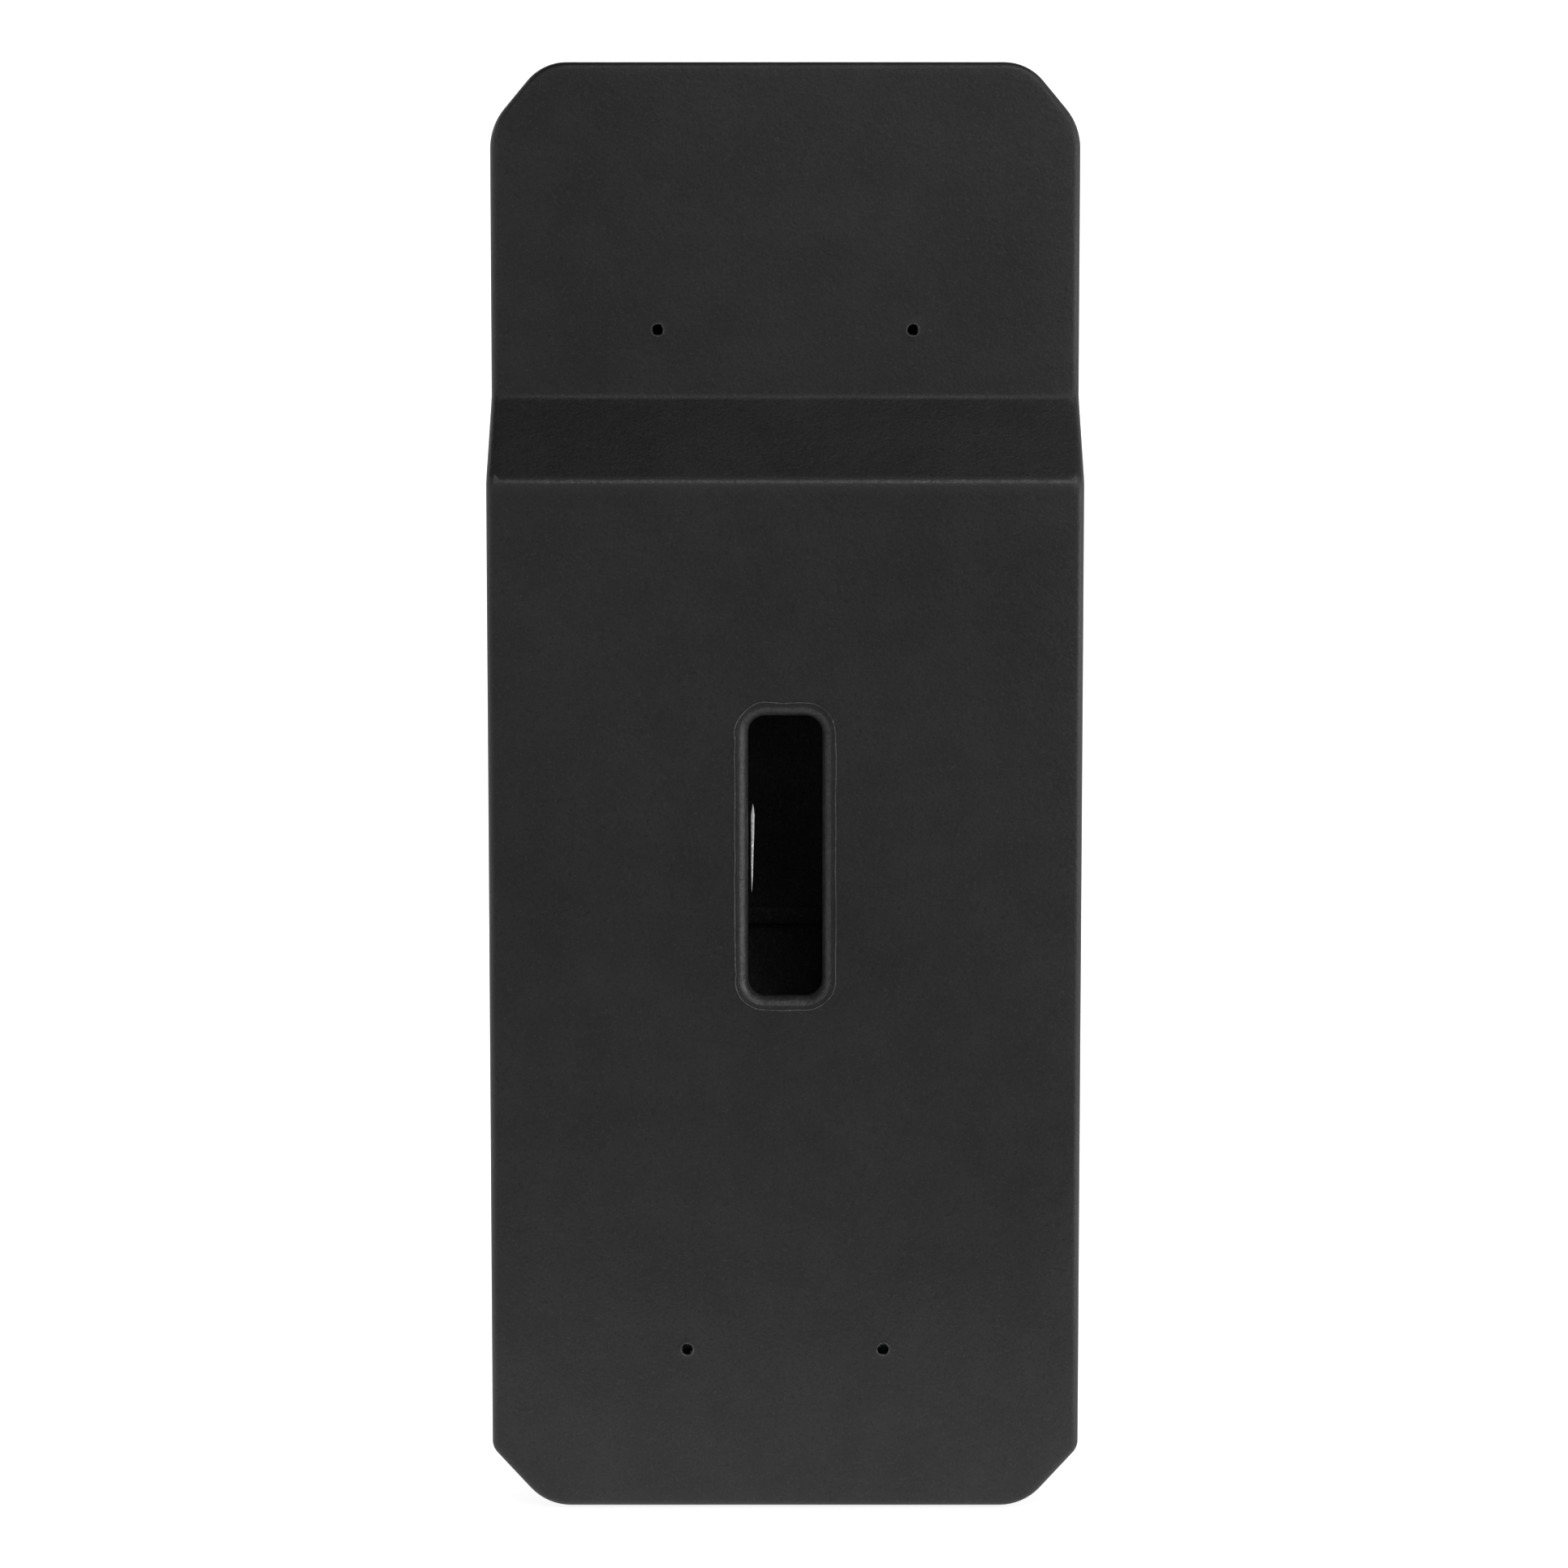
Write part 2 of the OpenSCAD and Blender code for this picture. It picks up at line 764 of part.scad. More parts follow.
module lock_keeper_rivets() {
    color([0.65, 0.66, 0.67]) at_keeper_rivets() flush_rivet(wall_t + keeper_t);
}

// ---- Liner ----

module liner_shelf() {
    foot_z = base_z + wall_t;
    leg_x = shelf_w / 2 - shelf_foot;
    color([0.6, 0.62, 0.64]) difference() {
        along_shelf() polygon([
            [-leg_x, shelf_z - shelf_t], [-leg_x, foot_z], [-shelf_w / 2, foot_z],
            [-shelf_w / 2, foot_z + shelf_t], [-leg_x - shelf_t, foot_z + shelf_t],
            [-leg_x - shelf_t, shelf_z], [leg_x + shelf_t, shelf_z],
            [leg_x + shelf_t, foot_z + shelf_t], [shelf_w / 2, foot_z + shelf_t],
            [shelf_w / 2, foot_z], [leg_x, foot_z], [leg_x, shelf_z - shelf_t]
        ]);
        at_shelf_rivets() rivet_hole(wall_t + shelf_t);
    }
}

module along_shelf() {
    along_y(liner_y + shelf_d / 2, shelf_d) children();
}

module liner_shelf_rivets() {
    color([0.65, 0.66, 0.67]) at_shelf_rivets() rivet(wall_t + shelf_t);
}

module liner_plan(grow) {
    rounded_rect(liner_w + 2 * grow, liner_d + 2 * grow, liner_r + grow);
}

module liner_bucket() {
    color([0.66, 0.68, 0.7]) difference() {
        translate([0, liner_y, 0]) difference() {
            union() {
                translate([0, 0, shelf_z]) linear_extrude(liner_l) liner_plan(0);
                translate([0, 0, liner_top_z - hem_l]) linear_extrude(hem_l) liner_plan(hem_w);
            }
            translate([0, 0, shelf_z + liner_t]) linear_extrude(liner_l) liner_plan(-liner_t);
        }
        at_ear_rivets() rivet_hole(liner_t + ear_t);
    }
}

module liner_ears() {
    color([0.6, 0.62, 0.64]) difference() {
        for (side = [-1, 1])
            translate([side * (ear_x + ear_t / 2), liner_y, 0]) {
                translate([-ear_t / 2, -ear_w / 2, liner_top_z - ear_drop])
                    cube([ear_t, ear_w, ear_drop - ear_gap]);
                translate([-ear_t / 2, 0, bail_z]) rotate([0, 90, 0]) cylinder(r = ear_top, h = ear_t);
                translate([-ear_t / 2, -ear_top, liner_top_z - ear_top])
                    cube([ear_t, 2 * ear_top, ear_top + bail_z - liner_top_z]);
            }
        translate([-body_w / 2, liner_y, bail_z]) rotate([0, 90, 0])
            cylinder(r = bail_r + run_gap, h = body_w);
        at_ear_rivets() rivet_hole(liner_t + ear_t);
    }
}

module liner_ear_rivets() {
    color([0.65, 0.66, 0.67]) at_ear_rivets() rivet(liner_t + ear_t);
}

// A straight length of the bail's wire between two points
module wire(a, b) {
    d = b - a;
    translate(a) rotate([0, acos(d.z / norm(d)), atan2(d.y, d.x)])
        cylinder(r = bail_r, h = norm(d));
}

module liner_handle() {
    front = liner_y - bail_reach;
    color([0.72, 0.73, 0.74]) {
        wire([-bail_x, front, bail_z], [bail_x, front, bail_z]);
        for (side = [-1, 1]) {
            wire([side * bail_x, front, bail_z], [side * bail_x, liner_y, bail_z]);
            wire([side * bail_x, liner_y, bail_z], [side * (ear_x - bail_tail), liner_y, bail_z]);
            for (y = [front, liner_y])
                translate([side * bail_x, y, bail_z]) sphere(r = bail_r);
        }
    }
}

// ---- Sign plate ----

module sign_plate() {
    color([0.78, 0.79, 0.8]) difference() {
        translate([0, 0, sign_z]) along_y(hood_y, sign_t) rounded_rect(sign_w, sign_l, sign_r);
        at_sign_rivets() rivet_hole(sign_t);
    }
}

module sign_plate_rivets() {
    color([0.65, 0.66, 0.67]) at_sign_rivets() rivet(sign_t + wall_t);
}

body_shell();
stub_plate();
stub_plate_screws();
butt_chute();
door_panel();
hinge_body_leaves();
hinge_door_leaves();
hinge_pins();
hinge_body_rivets();
hinge_door_rivets();
lock_barrel();
lock_nut();
lock_plug();
lock_cam();
lock_cam_screw();
lock_keeper();
lock_keeper_rivets();
liner_shelf();
liner_shelf_rivets();
liner_bucket();
liner_ears();
liner_ear_rivets();
liner_handle();
sign_plate();
sign_plate_rivets();
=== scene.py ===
"""Looks of the wall-hung ashtray bin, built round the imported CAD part.

Metres in the part's own frame: X across, +Y into the wall, +Z up. Places come from the boxes of
the CAD nodes, and the sizes named below are the moulding's and the metalwork's own.
"""

import math

import bmesh
import bpy
import numpy as np
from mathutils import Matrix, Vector, noise
from mathutils.geometry import delaunay_2d_cdt


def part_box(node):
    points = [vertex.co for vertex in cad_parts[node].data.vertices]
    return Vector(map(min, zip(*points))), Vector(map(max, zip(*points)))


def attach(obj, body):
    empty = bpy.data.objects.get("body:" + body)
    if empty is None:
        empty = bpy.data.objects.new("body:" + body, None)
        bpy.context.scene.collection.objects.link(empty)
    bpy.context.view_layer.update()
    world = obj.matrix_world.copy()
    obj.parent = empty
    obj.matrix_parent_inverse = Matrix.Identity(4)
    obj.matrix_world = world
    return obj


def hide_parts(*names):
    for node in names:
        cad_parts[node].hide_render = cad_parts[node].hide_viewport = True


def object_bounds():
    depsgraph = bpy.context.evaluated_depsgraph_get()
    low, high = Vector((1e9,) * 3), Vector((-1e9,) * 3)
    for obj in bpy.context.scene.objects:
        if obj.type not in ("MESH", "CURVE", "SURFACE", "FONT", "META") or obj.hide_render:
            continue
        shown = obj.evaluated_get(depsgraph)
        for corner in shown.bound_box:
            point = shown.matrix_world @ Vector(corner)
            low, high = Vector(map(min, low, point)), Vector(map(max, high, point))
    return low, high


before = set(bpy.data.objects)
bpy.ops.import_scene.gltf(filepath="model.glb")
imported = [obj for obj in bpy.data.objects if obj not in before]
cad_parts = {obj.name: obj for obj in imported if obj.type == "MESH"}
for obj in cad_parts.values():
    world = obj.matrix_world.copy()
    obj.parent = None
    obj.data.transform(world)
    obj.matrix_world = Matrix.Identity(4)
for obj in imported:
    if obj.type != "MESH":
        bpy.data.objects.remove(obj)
cad_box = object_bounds()

MM = 0.001
WELD = 0.00002                 # points closer than this become one

# ---- Sizes of the moulding, most of them those of the CAD source ----

shell_low, shell_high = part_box("body_shell")
BASE_Z, TOP_Z = shell_low.z, shell_high.z
HALF_W = shell_high.x
HOOD_Y = shell_low.y
FRONT_Y = -130 * MM
WALL = 5 * MM
STEP_D = 40 * MM
SHOULDER_Z = BASE_Z + 523 * MM
CREASE_Z = BASE_Z + 566 * MM
SILL_Z = BASE_Z + 447 * MM
SILL_DROP = 12 * MM            # the hood's slope ends this far below the sill
HOOD_Z = BASE_Z + 556 * MM
HOOD_TOP_DROP, HOOD_TOP_IN = 24 * MM, 18 * MM
SLOT_Z = BASE_Z + 334.5 * MM
UPPER_FIX_Z, UPPER_FIX_PITCH = BASE_Z + 600 * MM, 130 * MM
LOWER_FIX_Z, LOWER_FIX_PITCH = 0.0, 100 * MM
FOLD_R = 5 * MM
INNER_DROP = 2 * MM            # the inner skin's folds lie this far below the outer skin's
SKIN = 0.3 * MM                # the rear skin lies this far inside, which leaves room for flash

BODY_CORNERS = [               # x, height above the underside, radius
    (122 * MM, 0, 28 * MM),
    (150 * MM, 30 * MM, 9 * MM),
    (150 * MM, 703 * MM, 31 * MM),
    (123 * MM, 735 * MM, 26 * MM),
]
REAR_EDGE = 4 * MM
RUB_HIGHLIGHT_Z = SHOULDER_Z + 0.9 * MM  # the middle of the band along the shoulder that is painted lighter: wear and a painted highlight
RUB_HIGHLIGHT_HALF = 1.1 * MM            # and half its height
CROWN_W, CROWN_D = 24 * MM, 0.8 * MM       # the rear skin falls away a little near its sides
FRONT_EDGE = 3 * MM

SLOT_W, SLOT_L, SLOT_R = 38 * MM, 143 * MM, 9 * MM
FLASH_OUT = 6.8 * MM           # from the slot's edge out to the ring of flash
ROLL_R = 6.2 * MM              # radius that the slot's lip rolls in with
ROLL_IN = 0.2 * MM             # how far the roll narrows the slot
COLLAR_D = 11 * MM
LAND_SINK = 0.14 * MM          # the flat land inside the flash lies this far below the skin
FLASH_TEARS = [                # x, z, reach and how much further the flash wanders there
    (16 * MM, SLOT_Z + 70 * MM, 12 * MM, 2.6),
    (-18 * MM, SLOT_Z + 68 * MM, 4 * MM, 2.0),
    (18 * MM, SLOT_Z - 62 * MM, 6 * MM, 2.4),
]
SLIVER = (17.3 * MM, 233.5 * MM, 278.5 * MM)   # x, lower and upper end of the near-white sliver, a painted highlight in the slot
FIX_R = 3 * MM

MOUTH_HALF = 105 * MM
MOUTH_BACK = -60 * MM
MOUTH_FLOOR_START = -128 * MM
MOUTH_R, MOUTH_FLOOR_R = 20 * MM, 3 * MM
MOUTH_EDGE = 2.5 * MM
ROOF_RISE = 10 * MM
FLOOR_SLOPE = math.radians(18)
APERTURE_HALF = 90 * MM
APERTURE_Y = (-115.2 * MM, -72.8 * MM)
DROP_W, DROP_L, DROP_V = 168 * MM, 24 * MM, 5 * MM     # drop slot, and its place up the slope
DRAIN_X, DRAIN_R = 60 * MM, 4 * MM

DOOR_LOW, DOOR_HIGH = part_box("door_panel")
DOORWAY_GAP = 2 * MM
DOORWAY_R = 12 * MM
DOOR_R = 10 * MM
DOOR_RIB = 9 * MM
POCKET_D = 4 * MM
HINGE_L = 60 * MM
LIP_W = 12 * MM
LIP_BACK = -116.5 * MM
RIVET_PROUD = 0.12 * MM        # the keeper's flush rivets stand this far out of the lip
LIP_FRONT = LIP_BACK - WALL + RIVET_PROUD

BEAD_D, BEAD_DROP = 0.6 * MM, 42 * MM      # the liner's bead, and its foot below the rim


# ---- Small helpers ----

def mix(a, b, t):
    return a + (b - a) * t


def rough(p, size, seed):
    """Smooth noise from -1 to 1 at a point, with features about size metres across."""
    return noise.noise(Vector((p[0] / size + seed, p[1] / size - seed, p[2] / size + 0.37 * seed)))


class Shape:
    """Gathers points and faces, then welds them into one mesh object."""

    def __init__(self):
        self.points = []
        self.faces = []
        self.finish = []

    def add(self, points, faces, finish=0):
        first = len(self.points)
        self.points += [tuple(p) for p in points]
        self.faces += [tuple(first + i for i in face) for face in faces]
        self.finish += [finish] * len(faces)

    def strip(self, rows, finish=0, skip=None):
        """Quads between closed rows of equal length; skip(row, column) leaves one out."""
        width = len(rows[0])
        faces = [
            (r * width + c, r * width + (c + 1) % width,
             (r + 1) * width + (c + 1) % width, (r + 1) * width + c)
            for r in range(len(rows) - 1) for c in range(width)
            if skip is None or not skip(r, c)
        ]
        self.add([p for row in rows for p in row], faces, finish)

    def cap(self, row, finish=0):
        """One face over a closed row."""
        self.add(row, [tuple(range(len(row)))], finish)

    def make(self, name, materials, body, sharp=35, replaces=()):
        """Builds the object, and gives it its materials, its body and the nodes it stands for."""
        mesh = bpy.data.meshes.new(name)
        mesh.from_pydata(self.points, [], self.faces)
        mesh.polygons.foreach_set("material_index", self.finish)
        work = bmesh.new()
        work.from_mesh(mesh)
        bmesh.ops.remove_doubles(work, verts=work.verts, dist=WELD)
        bmesh.ops.dissolve_degenerate(work, edges=work.edges, dist=WELD / 4)
        bmesh.ops.recalc_face_normals(work, faces=work.faces)
        work.to_mesh(mesh)
        work.free()
        mesh.shade_smooth()
        mesh.set_sharp_from_angle(angle=math.radians(sharp))
        for material in materials:
            mesh.materials.append(material)
        item = bpy.data.objects.new(name, mesh)
        bpy.context.collection.objects.link(item)
        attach(item, body)
        if replaces:
            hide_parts(*replaces)
        return item


def outline(corners, spacing, steps=8):
    """Points and outward normals round a closed anticlockwise path of (x, z, radius) corners.
    The first point begins the first corner's arc."""
    places, count = [], len(corners)
    arcs = []
    for i, (x, z, radius) in enumerate(corners):
        here = Vector((x, z))
        back = (Vector(corners[i - 1][:2]) - here).normalized()
        on = (Vector(corners[(i + 1) % count][:2]) - here).normalized()
        half = back.angle(on) / 2
        centre = here + (back + on).normalized() * (radius / math.sin(half))
        side = 1 if on.x * back.y - on.y * back.x > 0 else -1
        start = math.atan2(side * back.x, -side * back.y)
        turn = side * (math.pi - 2 * half)
        rays = [Vector((math.cos(start + turn * k / steps), math.sin(start + turn * k / steps)))
                for k in range(steps + 1)]
        arcs.append([(centre + ray * radius, ray * side) for ray in rays])
    for i, arc in enumerate(arcs):
        places += arc
        end, following = arc[-1], arcs[(i + 1) % count][0]
        pieces = max(1, round((following[0] - end[0]).length / spacing))
        places += [(end[0].lerp(following[0], k / pieces), end[1]) for k in range(1, pieces)]
    return places


def rectangle(width, height, radius, centre_z, spacing=5 * MM, steps=8):
    """Outline of a rounded rectangle centred on x = 0."""
    w, h = width / 2, height / 2
    corners = [(w, -h, radius), (w, h, radius), (-w, h, radius), (-w, -h, radius)]
    return outline([(x, z + centre_z, r) for x, z, r in corners], spacing, steps)


def grown(loop, distance):
    """The loop's points, moved along their normals."""
    return [p + n * distance for p, n in loop]


def filleted(corners, radius, steps=8):
    """A (z, y) path whose inner corners are rounded, as two rising lists of heights and depths."""
    path = [Vector(corners[0])]
    for before, here, after in zip(corners, corners[1:], corners[2:]):
        here = Vector(here)
        back = (Vector(before) - here).normalized()
        on = (Vector(after) - here).normalized()
        half = back.angle(on) / 2
        reach = radius / math.tan(half)
        first, last = here + back * reach, here + on * reach
        for k in range(steps + 1):
            t = k / steps
            path.append((1 - t) ** 2 * first + 2 * t * (1 - t) * here + t ** 2 * last)
    path.append(Vector(corners[-1]))
    return [p.x for p in path], [p.y for p in path]


def inside(points, loop):
    """Which of the points lie inside the closed loop."""
    hit = np.zeros(len(points), bool)
    x, y = points[:, 0], points[:, 1]
    for a, b in zip(loop, loop[1:] + loop[:1]):
        if a[1] == b[1]:
            continue
        crosses = (a[1] > y) != (b[1] > y)
        hit ^= crosses & (x < a[0] + (y - a[1]) * (b[0] - a[0]) / (b[1] - a[1]))
    return hit


def distance_to(points, loop):
    """The shortest distance from each point to the loop."""
    best = np.full(len(points), 1e9)
    for a, b in zip(loop, loop[1:] + loop[:1]):
        a, b = np.array(a), np.array(b)
        along = b - a
        t = np.clip((points - a) @ along / max(along @ along, 1e-12), 0, 1)
        best = np.minimum(best, np.linalg.norm(points - a - t[:, None] * along, axis=1))
    return best


def flat_region(outer, holes, spacing, levels=()):
    """Triangles over a flat region with holes, on a staggered grid with extra rows at levels.
    Returns the points (u, v) and the triangles."""
    outer = [tuple(p) for p in outer]
    holes = [[tuple(p) for p in hole] for hole in holes]
    us, vs = [p[0] for p in outer], [p[1] for p in outer]
    rows = sorted(set(np.arange(min(vs), max(vs), spacing)) | set(levels))
    grid = np.array([
        (u, v) for k, v in enumerate(rows)
        for u in np.arange(min(us) + spacing * (0.25 + 0.5 * (k % 2)), max(us), spacing)
    ])
    keep = inside(grid, outer) & (distance_to(grid, outer) > 0.45 * spacing)
    for hole in holes:
        keep &= ~inside(grid, hole) & (distance_to(grid, hole) > 0.4 * spacing)
    points, edges = [], []
    for loop in [outer] + holes:
        first = len(points)
        points += [Vector(p) for p in loop]
        edges += [(first + i, first + (i + 1) % len(loop)) for i in range(len(loop))]
    points += [Vector(p) for p in grid[keep]]
    found, _, faces, *_ = delaunay_2d_cdt(points, edges, [], 0, 1e-7)
    middles = np.array([sum((found[i] for i in f), Vector((0, 0))) / len(f) for f in faces])
    keep = inside(middles, outer)
    for hole in holes:
        keep &= ~inside(middles, hole)
    return found, [f for f, kept in zip(faces, keep) if kept]


def quarter(radius, steps=6):
    """(inset, depth) pairs of a rounded edge, from the flat face round to the side."""
    turns = [math.pi / 2 * k / steps for k in range(steps + 1)]
    return [(radius * (1 - math.sin(a)), radius * (1 - math.cos(a))) for a in turns]


# ---- Materials ----

def new_material(name):
    """An empty node material: its nodes, its links and its principled shader."""
    material = bpy.data.materials.new(name)
    material.use_nodes = True
    nodes, links = material.node_tree.nodes, material.node_tree.links
    return material, nodes, links, nodes["Principled BSDF"]


def noise_node(nodes, links, scale, detail=3, stretch=None, roughness=0.5):
    """3D noise in the object's own metres, optionally squeezed along its axes."""
    coordinates = nodes.new("ShaderNodeTexCoord")
    mapping = nodes.new("ShaderNodeMapping")
    links.new(coordinates.outputs["Object"], mapping.inputs["Vector"])
    mapping.inputs["Scale"].default_value = stretch or (1, 1, 1)
    texture = nodes.new("ShaderNodeTexNoise")
    texture.inputs["Scale"].default_value = scale
    texture.inputs["Detail"].default_value = detail
    texture.inputs["Roughness"].default_value = roughness
    links.new(mapping.outputs["Vector"], texture.inputs["Vector"])
    return texture.outputs["Fac"]


def ramp(nodes, links, value, low, high, first, last):
    """Maps value from low..high onto first..last, which are numbers or colours."""
    node = nodes.new("ShaderNodeMapRange")
    is_colour = isinstance(first, tuple)
    node.data_type = "FLOAT_VECTOR" if is_colour else "FLOAT"
    if is_colour:
        links.new(value, node.inputs[6])
        for slot, place in zip((7, 8, 9, 10), ((low,) * 3, (high,) * 3, first, last)):
            node.inputs[slot].default_value = place
        return node.outputs["Vector"]
    links.new(value, node.inputs["Value"])
    for slot, place in zip(("From Min", "From Max", "To Min", "To Max"), (low, high, first, last)):
        node.inputs[slot].default_value = place
    return node.outputs["Result"]


def place_sockets(nodes, links):
    """The X, Y and Z of the shaded point, in the object's own metres."""
    coordinates = nodes.new("ShaderNodeTexCoord")
    place = nodes.new("ShaderNodeSeparateXYZ")
    links.new(coordinates.outputs["Object"], place.inputs["Vector"])
    return place.outputs


def product(nodes, links, first, second):
    """One socket's value times another's."""
    node = nodes.new("ShaderNodeMath")
    node.operation = "MULTIPLY"
    links.new(first, node.inputs[0])
    links.new(second, node.inputs[1])
    return node.outputs["Value"]


def blended(nodes, links, factor, first, second):
    """Mixes two colours by factor; each is a socket or a colour."""
    node = nodes.new("ShaderNodeMix")
    node.data_type = "RGBA"
    links.new(factor, node.inputs["Factor"])
    for name, value in (("A", first), ("B", second)):
        socket = next(s for s in node.inputs if s.name == name and s.type == "RGBA")
        if isinstance(value, tuple):
            socket.default_value = (*value, 1)
        else:
            links.new(value, socket)
    return next(s for s in node.outputs if s.type == "RGBA")


def bumps(nodes, links, shader, layers):
    """Chains bump nodes; each layer is (height socket, depth in metres, strength)."""
    normal = None
    for height, depth, strength in layers:
        bump = nodes.new("ShaderNodeBump")
        bump.inputs["Strength"].default_value = strength
        bump.inputs["Distance"].default_value = depth
        links.new(height, bump.inputs["Height"])
        if normal:
            links.new(normal, bump.inputs["Normal"])
        normal = bump.outputs["Normal"]
    links.new(normal, shader.inputs["Normal"])


def moulded_plastic(name, dark, light, speck, roughness=(0.42, 0.58), grain=1.0, patch=38,
                    specular=0.5, rub_highlight=None):
    """Rotationally moulded polyethylene: fine leather grain, soft mottling, dark specks and pale
    flecks. A lighter band of (height, reach, colour) fades in upwards to that height: wear and a
    painted highlight."""
    material, nodes, links, shader = new_material(name)
    shader.inputs["Specular IOR Level"].default_value = specular
    mottle = noise_node(nodes, links, patch, 4)
    cloud = noise_node(nodes, links, 7, 2)
    body = blended(nodes, links, ramp(nodes, links, mottle, 0.35, 0.65, 0.0, 1.0), dark, light)
    specks = noise_node(nodes, links, 620, 2)
    body = blended(nodes, links, ramp(nodes, links, specks, 0.33, 0.46, 0.8, 0.0), body, speck)
    flecks = noise_node(nodes, links, 700, 2)
    pale = tuple(1.6 * c for c in light)
    body = blended(nodes, links, ramp(nodes, links, flecks, 0.56, 0.72, 0.0, 1.0), body, pale)
    # The band below the given height is painted lighter: a painted highlight with some wear.
    if rub_highlight:
        height, reach, worn_and_highlit = rub_highlight
        z = place_sockets(nodes, links)["Z"]
        fade = ramp(nodes, links, z, height - reach, height, 0.0, 1.0)
        stop = ramp(nodes, links, z, height, height + 1 * MM, 1.0, 0.0)
        body = blended(nodes, links, product(nodes, links, fade, stop), body, worn_and_highlit)
    links.new(body, shader.inputs["Base Color"])
    links.new(ramp(nodes, links, cloud, 0.3, 0.7, *roughness), shader.inputs["Roughness"])
    leather = noise_node(nodes, links, 560, 4, roughness=0.65)
    peel = noise_node(nodes, links, 160, 2)
    bumps(nodes, links, shader, [
        (peel, 0.3 * MM, 0.45 * grain),
        (leather, 0.3 * MM, 0.9 * grain),
    ])
    return material


# The black moulding is painted lighter in a band up to just above the shoulder. This is a painted
# highlight spreading from the fold, with some wear.
BLACK = moulded_plastic(
    "black_plastic", (0.0050,) * 3, (0.0095,) * 3, (0.0012,) * 3,
    rub_highlight=(SHOULDER_Z + 2 * MM, 9 * MM, (0.016,) * 3))
# Lighter plastic for the drilled holes' burrs, which is wear, and for the band along the shoulder,
# which is wear and a painted highlight.
RUBBED_AND_HIGHLIT = moulded_plastic(
    "rubbed_and_highlit_plastic", (0.028,) * 3, (0.050,) * 3, (0.016,) * 3, (0.38, 0.6), 1.2, 120)
# The slot's rolled lip is painted about three times lighter than the body: a painted sheen.
LIP_SHEEN = moulded_plastic("rolled_lip_sheen", (0.018,) * 3, (0.031,) * 3, (0.008,) * 3, (0.36, 0.5), 1.3, 320)
INNER = moulded_plastic(
    "inner_skin", (0.045,) * 3, (0.062,) * 3, (0.025,) * 3, (0.6, 0.75), 1.4, specular=0.35)
FLASH = moulded_plastic("flash_plastic", (0.05,) * 3, (0.11,) * 3, (0.02,) * 3, (0.45, 0.6), 1.5)
# Near-white plastic for the sliver in the slot: a painted highlight.
SLIVER_HIGHLIGHT = moulded_plastic("sliver_highlight_plastic", (0.5,) * 3, (0.75,) * 3, (0.3,) * 3, (0.4, 0.5), 1.0)


def metal(name, tint, dull, roughness, squeeze=(1, 1, 1), depth=0.03, spangle=0):
    """Bare metal: tint to dull in patches, fine brush marks of the given depth in millimetres,
    small scratches and, on galvanised sheet, spangle of the given size."""
    material, nodes, links, shader = new_material(name)
    shader.inputs["Metallic"].default_value = 1.0
    patches = noise_node(nodes, links, 22, 4)
    colour = blended(nodes, links, ramp(nodes, links, patches, 0.35, 0.7, 0.0, 1.0), tint, dull)
    marks = noise_node(nodes, links, 260, 4, squeeze, 0.65)
    gloss = ramp(nodes, links, marks, 0.3, 0.7, *roughness)
    if spangle:
        cells = nodes.new("ShaderNodeTexVoronoi")
        coordinates = nodes.new("ShaderNodeTexCoord")
        links.new(coordinates.outputs["Object"], cells.inputs["Vector"])
        cells.inputs["Scale"].default_value = 1 / spangle
        shade = nodes.new("ShaderNodeSeparateColor")
        links.new(cells.outputs["Color"], shade.inputs["Color"])
        grey = tuple(c * 0.62 for c in dull)
        colour = blended(nodes, links, shade.outputs["Red"], colour, grey)
        gloss = ramp(nodes, links, shade.outputs["Green"], 0, 1, *roughness)
    links.new(colour, shader.inputs["Base Color"])
    links.new(gloss, shader.inputs["Roughness"])
    scratches = noise_node(nodes, links, 90, 5, (1, 1, 14), 0.7)
    bumps(nodes, links, shader, [(marks, depth * MM, 0.35), (scratches, 0.02 * MM, 0.25)])
    return material


STAINLESS = metal(
    "brushed_stainless", (0.44, 0.44, 0.43), (0.29, 0.28, 0.27), (0.22, 0.40), (0.05, 1, 1))
SIGN = metal("sign_aluminium", (0.50, 0.51, 0.52), (0.39, 0.39, 0.40), (0.28, 0.44), (0.04, 1, 1))
GALVANISED = metal(
    "galvanised", (0.50, 0.52, 0.54), (0.34, 0.36, 0.38), (0.30, 0.55), spangle=9 * MM)
ZINC = metal("zinc_plate", (0.48, 0.48, 0.46), (0.32, 0.31, 0.28), (0.30, 0.48), (1, 1, 0.3))
CHROME = metal("lock_chrome", (0.50, 0.51, 0.53), (0.40, 0.41, 0.43), (0.08, 0.20), depth=0.01)
BRASS = metal("lock_brass", (0.52, 0.40, 0.19), (0.30, 0.22, 0.10), (0.22, 0.42))
RIVET = metal("rivet_aluminium", (0.52, 0.52, 0.52), (0.36, 0.36, 0.35), (0.30, 0.50))
WIRE = metal("bail_wire", (0.46, 0.46, 0.45), (0.30, 0.29, 0.27), (0.25, 0.45), (1, 0.3, 1))


# ---- Cabinet ----

